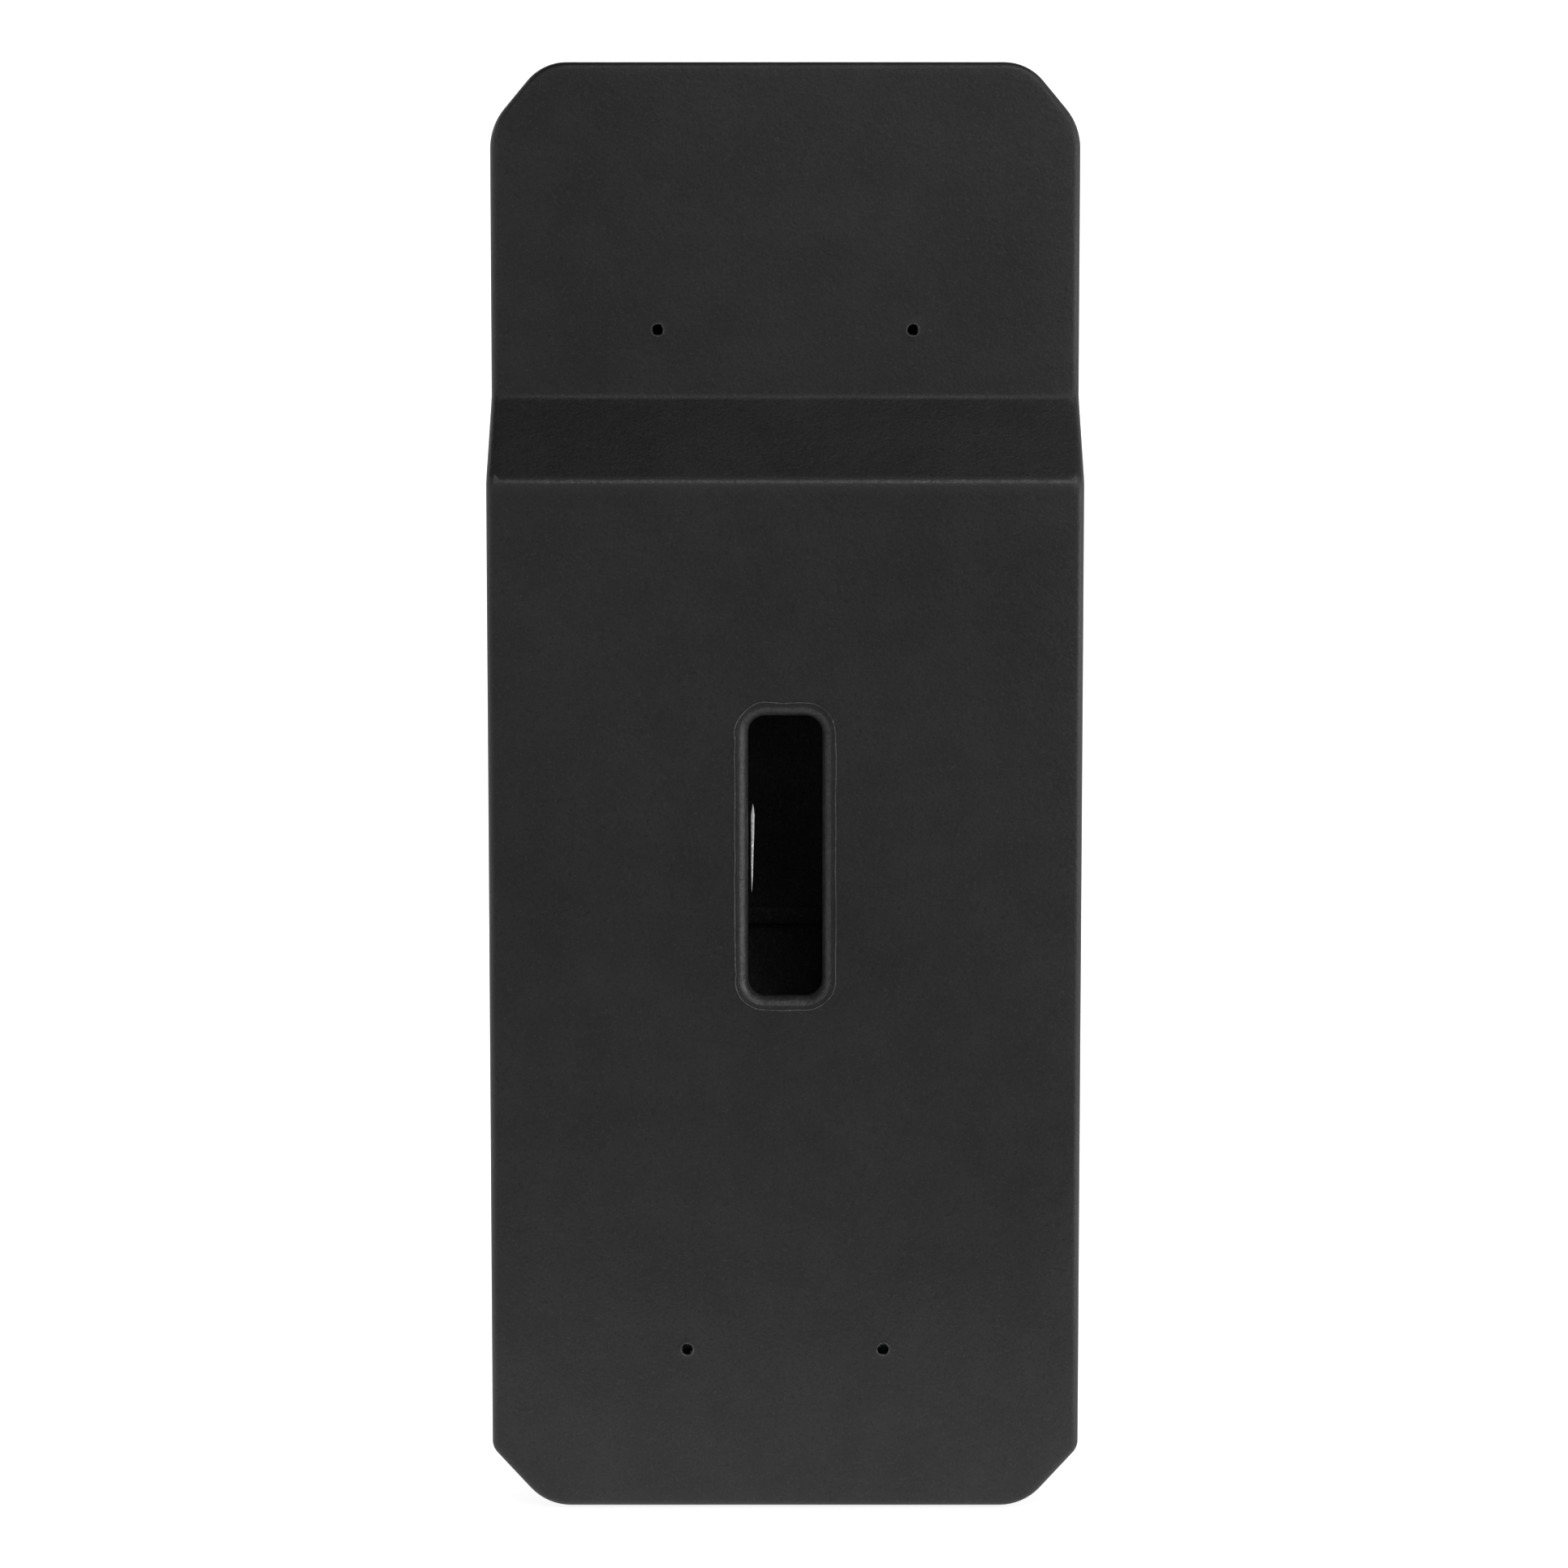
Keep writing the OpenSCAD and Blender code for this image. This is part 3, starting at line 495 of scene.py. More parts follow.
REAR = filleted([(BASE_Z, 0), (SHOULDER_Z, 0), (CREASE_Z, -STEP_D), (TOP_Z, -STEP_D)], FOLD_R)
FRONT = filleted([
    (BASE_Z, FRONT_Y), (SILL_Z - SILL_DROP, FRONT_Y), (HOOD_Z, HOOD_Y),
    (TOP_Z - HOOD_TOP_DROP, HOOD_Y), (TOP_Z, HOOD_Y + HOOD_TOP_IN),
], FOLD_R)
REAR_IN = filleted([
    (BASE_Z, -WALL), (SHOULDER_Z - INNER_DROP, -WALL),
    (CREASE_Z - INNER_DROP, -STEP_D - WALL), (TOP_Z, -STEP_D - WALL),
], FOLD_R)
FRONT_IN = filleted([
    (BASE_Z, FRONT_Y + WALL), (SILL_Z - SILL_DROP, FRONT_Y + WALL), (HOOD_Z, HOOD_Y + WALL),
    (TOP_Z - HOOD_TOP_DROP - INNER_DROP, HOOD_Y + WALL), (TOP_Z, HOOD_Y + HOOD_TOP_IN + 5.3 * MM),
], FOLD_R)


def rear_y(x, z):
    """Depth of the rear skin: the moulding sinks a little between its folds and edges."""
    sink = 0.28 * MM * (0.5 + 0.5 * rough((x, 0, z), 90 * MM, 3.1))
    sink += 0.06 * MM * (0.5 + 0.5 * rough((x, 0, z), 22 * MM, 8.4))
    near_edge = max(0.0, 1 - (HALF_W - REAR_EDGE - abs(x)) / CROWN_W)
    sink += CROWN_D * near_edge ** 2
    return float(np.interp(z, *REAR)) - SKIN - sink


def front_y(x, z):
    """Depth of the front skin, which sinks a little too."""
    sink = 0.2 * MM * (0.5 + 0.5 * rough((x, 1, z), 80 * MM, 5.7))
    return float(np.interp(z, *FRONT)) + sink


def rear_in_y(x, z):
    """Depth of the inner skin at the rear."""
    return float(np.interp(z, *REAR_IN))


def front_in_y(x, z):
    """Depth of the inner skin at the front."""
    return float(np.interp(z, *FRONT_IN))


def on_skin(loop, skin, depth=0.0):
    """A flat (x, z) loop laid on a skin, then moved along Y."""
    return [Vector((x, skin(x, z) + depth, z)) for x, z in loop]


def skin_patch(shape, outer, holes, skin, spacing, path, rub_highlight_z=-1.0, finish=0):
    """The flat part of a skin, with rows of points along the folds of its side path. The band
    at the given rub height is painted lighter: wear and a painted highlight."""
    points, faces = flat_region(outer, holes, spacing, path[0])
    places = [(p.x, skin(p.x, p.y), p.y) for p in points]
    # Faces in this band take the lighter plastic: wear, and a painted highlight along the
    # shoulder's fold.
    worn_and_highlit = [abs(sum(places[i][2] for i in f) / len(f) - rub_highlight_z) < RUB_HIGHLIGHT_HALF for f in faces]
    shape.add(places, [f for f, rubbed_and_highlit in zip(faces, worn_and_highlit) if not rubbed_and_highlit], finish)
    shape.add(places, [f for f, rubbed_and_highlit in zip(faces, worn_and_highlit) if rubbed_and_highlit], 1)


body_loop = outline(
    [(x, BASE_Z + z, r) for x, z, r in BODY_CORNERS]
    + [(-x, BASE_Z + z, r) for x, z, r in reversed(BODY_CORNERS)],
    5 * MM,
)
slot_loop = rectangle(SLOT_W, SLOT_L, SLOT_R, SLOT_Z, 3 * MM, 10)
fix_places = [
    (side * pitch / 2, z)
    for pitch, z in ((UPPER_FIX_PITCH, UPPER_FIX_Z), (LOWER_FIX_PITCH, LOWER_FIX_Z))
    for side in (-1, 1)
]


def ring(x, z, radius, count=28):
    """Points and outward normals round a circle."""
    turns = [2 * math.pi * k / count for k in range(count)]
    return [(Vector((x + radius * math.cos(a), z + radius * math.sin(a))),
             Vector((math.cos(a), math.sin(a)))) for a in turns]


def side_walls(shape, inset, rear_row, front_row, divisions, base_holes):
    """The wall round the outline between a rear row and a front row, with holes in the base."""
    rows = []
    for k in range(divisions + 1):
        t = k / divisions
        rows.append([mix(a, b, t) for a, b in zip(rear_row, front_row)])
    first_flat = max(i for i, (_, n) in enumerate(body_loop) if n.x < -0.5) + 1
    while body_loop[first_flat][1].y > -0.9999:
        first_flat += 1
    flat = range(first_flat, len(body_loop))
    shape.strip(rows, skip=lambda r, c: c in flat)
    bottom = list(flat) + [0]
    edge = [rows[0][i] for i in bottom] + [row[0] for row in rows[1:-1]]
    edge += [rows[-1][i] for i in reversed(bottom)] + [row[flat[0]] for row in rows[-2:0:-1]]
    points, faces = flat_region([(p.x, p.y) for p in edge], base_holes, 8 * MM)
    shape.add([(p.x, p.y, BASE_Z + inset) for p in points], faces)


def ragged_hole(shape, x, z, seed):
    """A hand-drilled hole: a raised burr, a torn edge, and the bore through to the inner skin."""
    def torn(radius, raise_by, ragged):
        row = []
        for p, n in ring(x, z, radius):
            tear = rough((n.x, n.y, seed), 0.45, seed) + 0.6 * rough((n.x, n.y, seed), 0.17, seed)
            place = p + n * ragged * tear
            row.append((place.x, rear_y(p.x, p.y) + raise_by * (0.6 + 0.6 * abs(tear)), place.y))
        return row
    rim = grown(ring(x, z, FIX_R), 1.0 * MM)
    burr = torn(FIX_R + 0.55 * MM, 0.12 * MM, 0.15 * MM)
    bore = torn(FIX_R, -0.8 * MM, 0.15 * MM)
    shape.strip([on_skin(rim, rear_y), burr])
    shape.strip([
        burr,
        torn(FIX_R + 0.2 * MM, 0.22 * MM, 0.35 * MM),
        torn(FIX_R - 0.1 * MM, -0.05 * MM, 0.4 * MM),
        bore,
    ], finish=1)
    shape.strip([bore, on_skin(grown(ring(x, z, FIX_R), 0), rear_in_y)])
    return rim


def slot_lip(shape):
    """The rear slot: a ring of flash, a flat land, the rolled lip and the collar inside."""
    def row(out, depth, wander=0.0):
        made = []
        for p, n in slot_loop:
            wave = rough((p.x, 0, p.y), 9 * MM, 2.3) + 0.5 * rough((p.x, 0, p.y), 3 * MM, 6.1)
            torn = 1.0
            for x, z, reach, more in FLASH_TEARS:
                torn += more * math.exp(-(((p.x - x) ** 2 + (p.y - z) ** 2) / reach ** 2))
            place = p + n * (out + wander * wave * torn)
            made.append(Vector((place.x, rear_y(place.x, place.y) + depth, place.y)))
        return made
    wander = 0.35 * MM
    rim = row(FLASH_OUT, 0, wander)
    crest = row(FLASH_OUT - 0.12 * MM, 0.26 * MM, wander)
    foot = row(FLASH_OUT - 0.55 * MM, -0.05 * MM, wander)
    shape.strip([rim, crest])
    shape.strip([crest, row(FLASH_OUT - 0.40 * MM, 0.24 * MM, wander), foot], finish=2)
    shape.strip([
        foot,
        row(FLASH_OUT - 1.4 * MM, -0.12 * MM, 0.2 * MM),
        row(ROLL_R - ROLL_IN, -LAND_SINK),
    ])
    roll = [row(out - ROLL_IN, -LAND_SINK - depth) for out, depth in quarter(ROLL_R, 10)]
    shape.strip(roll[:3])
    # The roll takes the lip's painted sheen.
    shape.strip(roll[2:], finish=3)
    shape.strip([roll[-1], row(-ROLL_IN, -COLLAR_D + 0.8 * MM), row(0.3 * MM, -COLLAR_D)])
    outer = grown(slot_loop, WALL)
    shape.strip([
        row(0.3 * MM, -COLLAR_D),
        [Vector((p.x, -COLLAR_D, p.y)) for p in outer],
        on_skin(outer, rear_in_y),
    ])
    return [(p.x, p.z) for p in rim], outer


def slot_sliver():
    """A near-white sliver that hangs on the slot's collar, tapered at both
    ends: a painted highlight for the light caught inside the slot."""
    shape = Shape()
    x, low, high = SLIVER
    y = -COLLAR_D + 1.0 * MM
    rows = []
    for k in range(25):
        t = k / 24
        z = mix(low, high, t)
        spread = mix(0.3, 0.95, t) * MM
        half = spread * min(t / 0.2, (1 - t) / 0.12, 1) ** 0.8 + 0.03 * MM
        sway = 0.1 * MM * rough((0, 0, z), 15 * MM, 1.9) + spread
        rows.append([Vector((x - sway + half * a, y + b * 0.25 * MM, z))
                     for a, b in ((-1, 0), (-0.4, 1), (0.5, 1), (1, 0), (0.4, -1), (-0.4, -1))])
    shape.strip(rows)
    shape.cap(rows[0])
    shape.cap(rows[-1])
    return shape.make("slot_highlight_sliver", [SLIVER_HIGHLIGHT], "cabinet", 50, ())


def hole_swarf():
    """Curled threads of plastic that the drill left round each fixing hole."""
    shape = Shape()
    for number, (x, z) in enumerate(fix_places):
        for k in range(5):
            seed = 4.7 + 5 * number + k
            start = 2 * math.pi * (k / 5 + 0.11 * math.sin(seed * 7))
            sweep = 0.35 + 0.3 * math.sin(seed * 3)
            rows = []
            for j in range(7):
                t = j / 6
                a = start + sweep * t
                r = FIX_R + mix(0.35, -0.9, t) * MM * (0.8 + 0.4 * math.sin(seed))
                rise = (0.18 + 0.1 * math.sin(math.pi * t)) * MM
                wide = 0.16 * MM * (1 - 0.75 * t)
                px, pz = x + r * math.cos(a), z + r * math.sin(a)
                y = rear_y(x, z) + rise
                rows.append([Vector((px + wide * math.cos(b), y + 0.4 * wide * math.sin(2 * b),
                                     pz + wide * math.sin(b)))
                             for b in (2 * math.pi * m / 5 for m in range(5))])
            shape.strip(rows)
            shape.cap(rows[0])
            shape.cap(rows[-1])
    return shape.make("hole_swarf", [FLASH], "cabinet", 50, ())


def mouth_tube(shape, grow):
    """Walls of the mouth, from the front skin to its back; grow 0 is the inside you look into."""
    skin, edge = (front_y, MOUTH_EDGE) if grow == 0 else (front_in_y, 0.0)
    low, high = SILL_Z - grow, HOOD_Z + grow
    half = MOUTH_HALF + grow
    floor_r = MOUTH_FLOOR_R + grow
    corners = [(half, low, floor_r), (half, high, MOUTH_R), (-half, high, MOUTH_R),
               (-half, low, floor_r)]
    loop = outline(corners, 6 * MM)
    rim = grown(loop, edge)
    rows = [on_skin(grown(loop, out), skin, depth) for out, depth in quarter(edge, 4)] if edge \
        else [on_skin(rim, skin)]
    back_y = MOUTH_BACK + grow
    for y in (MOUTH_FLOOR_START + 1 * MM, *APERTURE_Y, back_y):
        floor = low + max(0.0, y - MOUTH_FLOOR_START) * math.tan(FLOOR_SLOPE)
        roof = high + ROOF_RISE * (y - HOOD_Y) / (MOUTH_BACK - HOOD_Y)
        rows.append([
            Vector((p.x, max(y, skin(p.x, p.y) + edge),
                    mix(floor, roof, (p.y - low) / (high - low))))
            for p, _ in loop
        ])
    aperture_row = len(rows) - 3

    def over_aperture(r, c):
        a, b = rows[r][c], rows[r][(c + 1) % len(loop)]
        in_width = max(abs(a.x), abs(b.x)) <= APERTURE_HALF + 1 * MM
        return r == aperture_row and in_width and loop[c][0].y < low + 1 * MM
    shape.strip(rows, skip=over_aperture)
    points, faces = flat_region([(p.x, p.z) for p in rows[-1]], [], 20 * MM)
    shape.add([(p.x, back_y, p.y) for p in points], faces)
    return rim


def doorway(shape):
    """The rebate that the door lies in and the lip behind it."""
    centre = (DOOR_LOW.z + DOOR_HIGH.z) / 2
    width = DOOR_HIGH.x - DOOR_LOW.x + 2 * DOORWAY_GAP
    height = DOOR_HIGH.z - DOOR_LOW.z + 2 * DOORWAY_GAP
    outer = rectangle(width, height, DOORWAY_R, centre)
    inner = grown(outer, -LIP_W)
    eased = grown(outer, -0.95 * LIP_W)
    edge, fillet, lip_edge = 1.2 * MM, 0.6 * MM, 0.5 * MM
    rows = [on_skin(grown(outer, out), front_y, depth) for out, depth in quarter(edge, 3)]
    rows += [[Vector((p.x, y, p.y)) for p in loop] for y, loop in (
        (LIP_FRONT - fillet, grown(outer, 0)),
        (LIP_FRONT, grown(outer, -fillet)),
        (LIP_FRONT, eased),
        (LIP_FRONT + lip_edge, inner),
        (LIP_BACK - lip_edge, inner),
        (LIP_BACK, eased),
        (LIP_BACK, grown(outer, WALL)),
    )]
    rows.append(on_skin(grown(outer, WALL), front_in_y))
    shape.strip(rows)
    return grown(outer, edge), grown(outer, WALL)


def body_shell():
    """The one-piece cabinet: outer and inner skins, step, slot, mouth, doorway and drains."""
    shape = Shape()
    liner_low, liner_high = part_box("liner_bucket")
    liner_y = (liner_low.y + liner_high.y) / 2
    drains = [[p for p, _ in ring(side * DRAIN_X, liner_y, DRAIN_R)] for side in (-1, 1)]
    slot_rim, slot_in = slot_lip(shape)
    fix_rims = [ragged_hole(shape, x, z, 11.3 + 7 * k) for k, (x, z) in enumerate(fix_places)]
    mouth_rim = mouth_tube(shape, 0)
    mouth_in = mouth_tube(shape, WALL)
    door_rim, door_in = doorway(shape)

    rear_rows = [on_skin(grown(body_loop, -i), rear_y, -d) for i, d in quarter(REAR_EDGE)]
    front_rows = [on_skin(grown(body_loop, -i), front_y, d) for i, d in quarter(FRONT_EDGE)]
    shape.strip(rear_rows)
    shape.strip(front_rows)
    skin_patch(shape, grown(body_loop, -REAR_EDGE), [slot_rim] + fix_rims, rear_y, 4 * MM, REAR,
               RUB_HIGHLIGHT_Z)
    skin_patch(shape, grown(body_loop, -FRONT_EDGE), [mouth_rim, door_rim], front_y, 5 * MM, FRONT)
    side_walls(shape, 0, rear_rows[-1], front_rows[-1], 14, drains)

    rear_in = on_skin(grown(body_loop, -WALL), rear_in_y)
    front_in = on_skin(grown(body_loop, -WALL), front_in_y)
    fix_in = [grown(ring(x, z, FIX_R), 0) for x, z in fix_places]
    skin_patch(shape, grown(body_loop, -WALL), [slot_in] + fix_in, rear_in_y, 9 * MM, REAR_IN,
               finish=4)
    skin_patch(shape, grown(body_loop, -WALL), [mouth_in, door_in], front_in_y, 9 * MM,
               FRONT_IN, finish=4)
    side_walls(shape, WALL, rear_in, front_in, 8, drains)
    for drain in drains:
        shape.strip([[(p.x, p.y, z) for p in drain] for z in (BASE_Z, BASE_Z + WALL)])
    return shape.make(
        "cabinet_moulding", [BLACK, RUBBED_AND_HIGHLIT, FLASH, LIP_SHEEN, INNER], "cabinet", 38, ["body_shell"],
    )


# ---- Door ----

def door_panel():
    """The flush door: softly rounded face, ribbed back with pockets round the lock and hinges."""
    shape = Shape()
    low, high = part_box("door_panel")
    centre = (low.z + high.z) / 2
    width, height = high.x - low.x, high.z - low.z
    face = rectangle(width, height, DOOR_R, centre)
    edge, back_edge = 1.6 * MM, 0.8 * MM

    def face_y(x, z):
        return low.y + 0.12 * MM * (0.5 + 0.5 * rough((x, 2, z), 70 * MM, 4.4))
    front = [on_skin(grown(face, -i), face_y, d) for i, d in quarter(edge, 4)]
    back = [[Vector((p.x, high.y - d, p.y)) for p in grown(face, -i)]
            for i, d in quarter(back_edge, 3)]
    shape.strip(front + back[::-1])
    points, faces = flat_region(grown(face, -edge), [], 5 * MM)
    shape.add([(p.x, face_y(p.x, p.y), p.y) for p in points], faces)

    pocket_l = (height - 4 * DOOR_RIB) / 3
    side = width / 2 - DOOR_RIB
    hinge_low, hinge_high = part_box("hinge_door_leaves")
    pad_x = hinge_high.x + 5 * MM
    barrel_low, barrel_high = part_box("lock_barrel")
    lock_x, lock_z = (barrel_low.x + barrel_high.x) / 2, (barrel_low.z + barrel_high.z) / 2
    boss = 17 * MM
    pocket_edge, floor_in = 0.7 * MM, 0.9 * MM
    floor_y = high.y - POCKET_D
    mouths = []
    for k in range(3):
        z0 = low.z + DOOR_RIB + k * (pocket_l + DOOR_RIB)
        z1 = z0 + pocket_l
        right = [(side, z0, 4 * MM), (side, z1, 4 * MM)]
        if z0 < lock_z < z1:
            right[1:1] = [(side, lock_z - boss, 3 * MM), (lock_x - boss, lock_z - boss, 3 * MM),
                          (lock_x - boss, lock_z + boss, 3 * MM), (side, lock_z + boss, 3 * MM)]
        left = [(-side, z1, 4 * MM), (-side, z0, 4 * MM)]
        for pad_z in (hinge_low.z, hinge_high.z - HINGE_L):
            if z0 < pad_z < z1:
                left[1:1] = [(-side, pad_z + HINGE_L, 3 * MM), (pad_x, pad_z + HINGE_L, 3 * MM),
                             (pad_x, pad_z, 3 * MM), (-side, pad_z, 3 * MM)]
        loop = outline(right + left, 6 * MM, 4)
        rows = [[Vector((p.x, high.y - d, p.y)) for p in grown(loop, i)]
                for i, d in quarter(pocket_edge, 2)]
        rows += [[Vector((p.x, floor_y + 0.8 * MM, p.y)) for p in grown(loop, -0.1 * MM)],
                 [Vector((p.x, floor_y, p.y)) for p in grown(loop, -floor_in)]]
        shape.strip(rows, finish=1)
        points, faces = flat_region(grown(loop, -floor_in), [], 9 * MM)
        shape.add([(p.x, floor_y, p.y) for p in points], faces, 1)
        mouths.append(grown(loop, pocket_edge))
    points, faces = flat_region(grown(face, -back_edge), mouths, 9 * MM)
    shape.add([(p.x, high.y, p.y) for p in points], faces, 1)
    return shape.make("door_moulding", [BLACK, INNER], "door", 40, ["door_panel"])


# ---- Metalwork ----

def flat_plate(shape, loop, holes, thickness, edge, place, spacing=9 * MM, height=None):
    """A sheet cut to a loop of (u, v) with holes. place(u, v, w) puts it in the part's frame, and
    height(u, v) may raise its upper face."""
    def up(u, v):
        return thickness + (height(u, v) if height else 0)
    rims = [grown(loop, -edge)] + [grown(hole, edge) for hole in holes]
    points, faces = flat_region(rims[0], rims[1:], spacing)
    shape.add([place(p.x, p.y, up(p.x, p.y)) for p in points], faces)
    shape.add([place(p.x, p.y, 0) for p in points], faces)
    for path, sign in [(loop, -1)] + [(hole, 1) for hole in holes]:
        rows = [[place(p.x, p.y, up(p.x, p.y) - d) for p in grown(path, sign * i)]
                for i, d in quarter(edge, 3)]
        rows += [[place(p.x, p.y, d) for p in grown(path, sign * i)]
                 for i, d in quarter(edge, 3)[::-1]]
        shape.strip(rows)


def stub_plate():
    """The sloping plate in the mouth: rounded edges, a long drop slot and rows of dimples."""
    shape = Shape()
    floor_y = (MOUTH_FLOOR_START + MOUTH_BACK) / 2
    floor_z = SILL_Z + (floor_y - MOUTH_FLOOR_START) * math.tan(FLOOR_SLOPE)
    rise, run = math.sin(FLOOR_SLOPE), math.cos(FLOOR_SLOPE)
    under, thickness = 1.5 * MM, 2 * MM
    play = 6 * MM                  # what the plate is shorter and narrower than the mouth's floor

    def place(u, v, w):
        w += under
        return Vector((u, floor_y + v * run - w * rise, floor_z + v * rise + w * run))
    length = 2 * (floor_y - MOUTH_FLOOR_START) / run - play
    pitch, dome_r, dome_h = 16 * MM, 9 * MM, 1.6 * MM
    domes = [((i + row / 2) * pitch, v) for row, v in enumerate((-13.5 * MM, -25 * MM))
             for i in range(-5, 6 - row)]

    def dimple(u, v):
        near = min((u - x) ** 2 + (v - y) ** 2 for x, y in domes)
        top = math.sqrt(max(dome_r ** 2 - near, 0)) + dome_h - dome_r
        return max(0.0, top)
    loop = rectangle(2 * MOUTH_HALF - play, length, 5 * MM, 0, 4 * MM)
    slot = rectangle(DROP_W, DROP_L, DROP_L / 2 - 0.01 * MM, DROP_V, 4 * MM, 12)
    flat_plate(shape, loop, [slot], thickness, 0.5 * MM, place, 1.5 * MM, dimple)
    return shape.make("stubbing_plate", [STAINLESS], "cabinet", 35, ["stub_plate"])


def sign_plate():
    """The blank sign plate on the hood, with rounded corners and softened edges."""
    shape = Shape()
    low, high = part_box("sign_plate")
    centre = (low.z + high.z) / 2
    loop = rectangle(high.x - low.x, high.z - low.z, 8 * MM, centre, 6 * MM)

    def place(u, v, w):
        return Vector((u, high.y - w, v))
    flat_plate(shape, loop, [], high.y - low.y, 0.5 * MM, place, 6 * MM)
    return shape.make("blank_sign", [SIGN], "cabinet", 35, ["sign_plate"])


def liner_bucket():
    """The galvanised liner: folded floor, drawn corners, a stiffening bead and a rolled rim."""
    shape = Shape()
    low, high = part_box("liner_bucket")
    middle = (low.y + high.y) / 2
    hem, sheet = 3 * MM, 1.2 * MM
    wall = rectangle(high.x - low.x - 2 * hem, high.y - low.y - 2 * hem, 8 * MM, middle, 6 * MM, 8)

    def row(out, z):
        return [Vector((p.x, p.y, z)) for p in grown(wall, out)]
    fold = 2.5 * MM
    outside = [row(-i, low.z + d) for i, d in quarter(fold, 5)]
    outside += [row(0, z) for z in np.linspace(low.z + 12 * MM, high.z - 46 * MM, 9)]
    outside += [row(-BEAD_D * math.sin(math.pi * k / 8), high.z - BEAD_DROP + k * MM)
                for k in range(9)]
    outside += [row(0, high.z - z) for z in (28 * MM, 16 * MM, 8 * MM, 5 * MM)]
    roll = hem / 2
    outside += [row(roll - roll * math.cos(a), high.z - 2 * roll + roll * math.sin(a))
                for a in (math.radians(t) for t in range(-60, 1, 15))]
    outside += [row(roll + roll * math.cos(a), high.z - roll + (roll - 0.02 * MM) * math.sin(a))
                for a in (math.radians(t) for t in range(-45, 181, 15))]
    inside_rows = [row(-sheet, high.z - z) for z in (1.6 * MM, 8 * MM, 28 * MM)]
    inside_rows += [row(-sheet, z) for z in np.linspace(high.z - 46 * MM, low.z + 12 * MM, 9)]
    inside_rows += [row(-sheet - i, low.z + sheet + d) for i, d in quarter(fold, 5)[::-1]]
    shape.strip(outside + inside_rows)
    for rim, z in ((outside[0], low.z), (inside_rows[-1], low.z + sheet)):
        points, faces = flat_region([(p.x, p.y) for p in rim], [], 12 * MM)
        shape.add([(p.x, p.y, z) for p in points], faces)
    return shape.make("liner", [GALVANISED], "liner", 50, ["liner_bucket"])


def swept(shape, path, radius, sides=14):
    """A round bar along a path of points, with flat ends."""
    rows = []
    up = Vector((0, 0, 1))
    for i, here in enumerate(path):
        ahead = (path[min(i + 1, len(path) - 1)] - path[max(i - 1, 0)]).normalized()
        across = ahead.cross(up).normalized()
        rows.append([
            here + (across * math.cos(a) + up * math.sin(a)) * radius
            for a in (2 * math.pi * k / sides for k in range(sides))
        ])
    shape.strip(rows)
    shape.cap(rows[0])
    shape.cap(rows[-1])


def liner_handle():
    """The bail: one bent wire whose ends turn in through the liner's ears."""
    shape = Shape()
    low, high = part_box("liner_handle")
    ears_low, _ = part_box("liner_ears")
    radius = (high.z - low.z) / 2
    z = (low.z + high.z) / 2
    wire_x, front = high.x - radius, low.y + radius
    back = high.y - radius
    end_x = ears_low.x + 5 * MM    # the wire passes through the ear and ends here
    corners = [(end_x, back), (-wire_x, back), (-wire_x, front), (wire_x, front), (wire_x, back),
               (-end_x, back)]
    radii = (4 * MM, 9 * MM, 9 * MM, 4 * MM)
    path = [Vector((*corners[0], z))]
    for before, here, after, r in zip(corners, corners[1:], corners[2:], radii):
        here, first, last = Vector(here), Vector(before), Vector(after)
        a, b = (first - here).normalized(), (last - here).normalized()
        centre = here + (a + b) * r
        for k in range(9):
            t = k / 8 * math.pi / 2
            p = centre - b * r * math.cos(t) - a * r * math.sin(t)
            path.append(Vector((p.x, p.y, z)))
    path.append(Vector((*corners[-1], z)))
    swept(shape, path, radius)
    return shape.make("bail", [WIRE], "bail", 40, ["liner_handle"])


def finish_cad_nodes():
    """The small metalwork keeps its CAD solids, with broken edges and real metal."""
    looks = {
        "stub_plate_screws": STAINLESS, "butt_chute": GALVANISED,
        "hinge_body_leaves": STAINLESS, "hinge_door_leaves": STAINLESS, "hinge_pins": STAINLESS,
        "hinge_body_rivets": RIVET, "hinge_door_rivets": RIVET,
        "lock_barrel": CHROME, "lock_nut": ZINC, "lock_plug": BRASS, "lock_cam": ZINC,
        "lock_cam_screw": ZINC, "lock_keeper": STAINLESS, "lock_keeper_rivets": RIVET,
        "liner_shelf": GALVANISED, "liner_shelf_rivets": RIVET,
        "liner_ears": GALVANISED, "liner_ear_rivets": RIVET, "sign_plate_rivets": RIVET,
    }
    for name, look in looks.items():
        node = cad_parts[name]
        node.data.materials.clear()
        node.data.materials.append(look)
        broken = node.modifiers.new("broken_edges", "BEVEL")
        broken.width = 0.25 * MM
        broken.segments = 2
        broken.limit_method = "ANGLE"
        broken.angle_limit = math.radians(40)


# ---- Stage ----

SWEEP_R = 4.5                  # where the floor turns up into the wall, with a bend of 1 m
SWEEP_TOP = 5.0
SWEEP_GLOW = (1.0, 0.86)       # the sweep glows evenly behind the object, and less under it
SWEEP_EASE = (-0.16, -0.02)    # the glow eases from one to the other between these depths
SWEEP_FADE = (0.12, 0.50)      # and fades out between these, on the camera's side


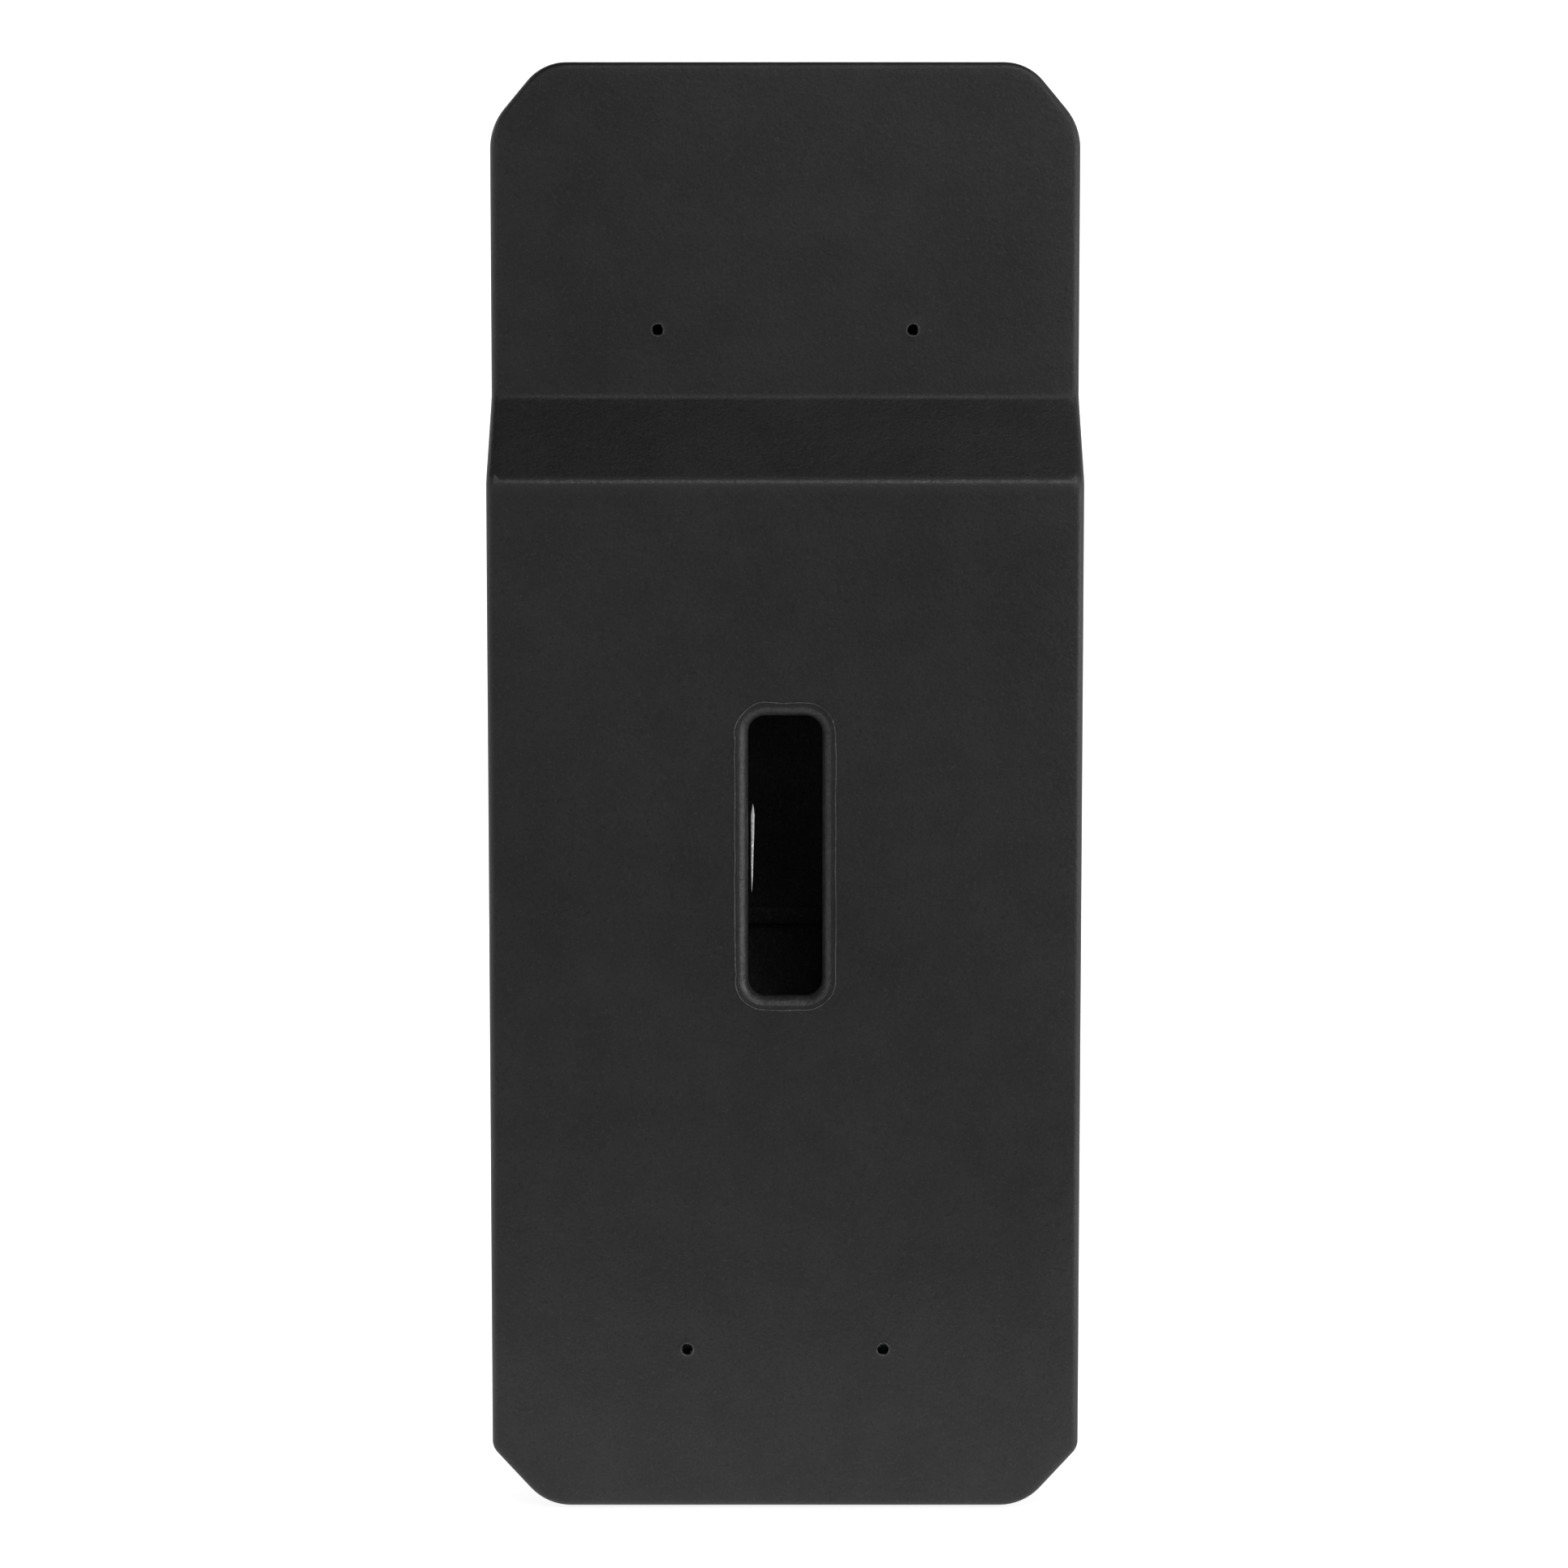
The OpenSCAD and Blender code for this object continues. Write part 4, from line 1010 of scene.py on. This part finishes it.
def studio():
    """A round white sweep, soft lights on all sides of the object, and the camera."""
    shape = Shape()
    floor_z = cad_box[0].z - 0.1 * MM
    bends = [math.pi / 2 * k / 12 for k in range(13)]
    profile = [(radius, floor_z) for radius in (0.6, 1.5, 3.0)]
    profile += [(SWEEP_R + math.sin(a), floor_z + 1 - math.cos(a)) for a in bends]
    profile += [(SWEEP_R + 1, SWEEP_TOP)]
    turns = [2 * math.pi * k / 96 for k in range(96)]
    rows = [[Vector((r * math.cos(t), r * math.sin(t), z)) for t in turns] for r, z in profile]
    shape.strip(rows)
    shape.cap(rows[0])
    mesh = bpy.data.meshes.new("sweep")
    mesh.from_pydata(shape.points, [], shape.faces)
    mesh.shade_smooth()
    sweep = bpy.data.objects.new("sweep", mesh)
    bpy.context.collection.objects.link(sweep)
    material, nodes, links, shader = new_material("white_sweep")
    shader.inputs["Base Color"].default_value = (0.36, 0.36, 0.36, 1)
    shader.inputs["Roughness"].default_value = 0.9
    shader.inputs["Emission Color"].default_value = (1, 1, 1, 1)
    y = place_sockets(nodes, links)["Y"]
    glow = ramp(nodes, links, y, *SWEEP_EASE, *SWEEP_GLOW)
    fade = ramp(nodes, links, y, *SWEEP_FADE, 1.0, 0.0)
    links.new(product(nodes, links, glow, fade), shader.inputs["Emission Strength"])
    mesh.materials.append(material)

    world = bpy.data.worlds.new("studio")
    world.use_nodes = True
    world.node_tree.nodes["Background"].inputs["Color"].default_value = (1, 1, 1, 1)
    world.node_tree.nodes["Background"].inputs["Strength"].default_value = 0.04
    bpy.context.scene.world = world

    def soft_light(name, size, power, place, aim):
        light = bpy.data.lights.new(name, "AREA")
        light.shape = "RECTANGLE"
        light.size, light.size_y = size
        light.energy = power
        item = bpy.data.objects.new(name, light)
        item.location = place
        item.visible_camera = False
        item.rotation_euler = (Vector(aim) - Vector(place)).to_track_quat("-Z", "Y").to_euler()
        bpy.context.collection.objects.link(item)

    soft_light("key", (1.6, 1.4), 4.8, (-1.3, 2.4, 1.1), (0, 0, 0.45))
    soft_light("fill", (1.2, 1.4), 6.2, (1.6, 2.3, 1.1), (0, 0, 0.5))
    soft_light("side", (0.8, 1.6), 42, (-2.8, 1.3, 0.5), (0, 0, 0.3))
    soft_light("overhead", (1.6, 0.8), 18, (-0.7, 1.4, 2.1), (0, 0, 0.3))
    soft_light("front_fill", (2.0, 1.6), 25, (0.4, -2.6, 1.8), (0, 0, 0.3))
    soft_light("left_side", (0.8, 1.6), 9, (2.8, 1.3, 0.5), (0, 0, 0.3))

    aim = Vector((0.6 * MM, 0, 289.6 * MM))
    pitch = math.radians(5.0)
    distance = 1.870
    camera = bpy.data.objects.new("camera", bpy.data.cameras.new("camera"))
    bpy.context.collection.objects.link(camera)
    camera.location = aim + Vector((0, math.cos(pitch), math.sin(pitch))) * distance
    camera.rotation_euler = (aim - camera.location).to_track_quat("-Z", "Y").to_euler()
    camera.data.sensor_width = 36
    camera.data.lens = 85.3
    camera.data.clip_end = 50
    bpy.context.scene.camera = camera
    bpy.context.scene.view_settings.view_transform = "Standard"


body_shell()
slot_sliver()
hole_swarf()
door_panel()
stub_plate()
sign_plate()
liner_bucket()
liner_handle()
finish_cad_nodes()
studio()
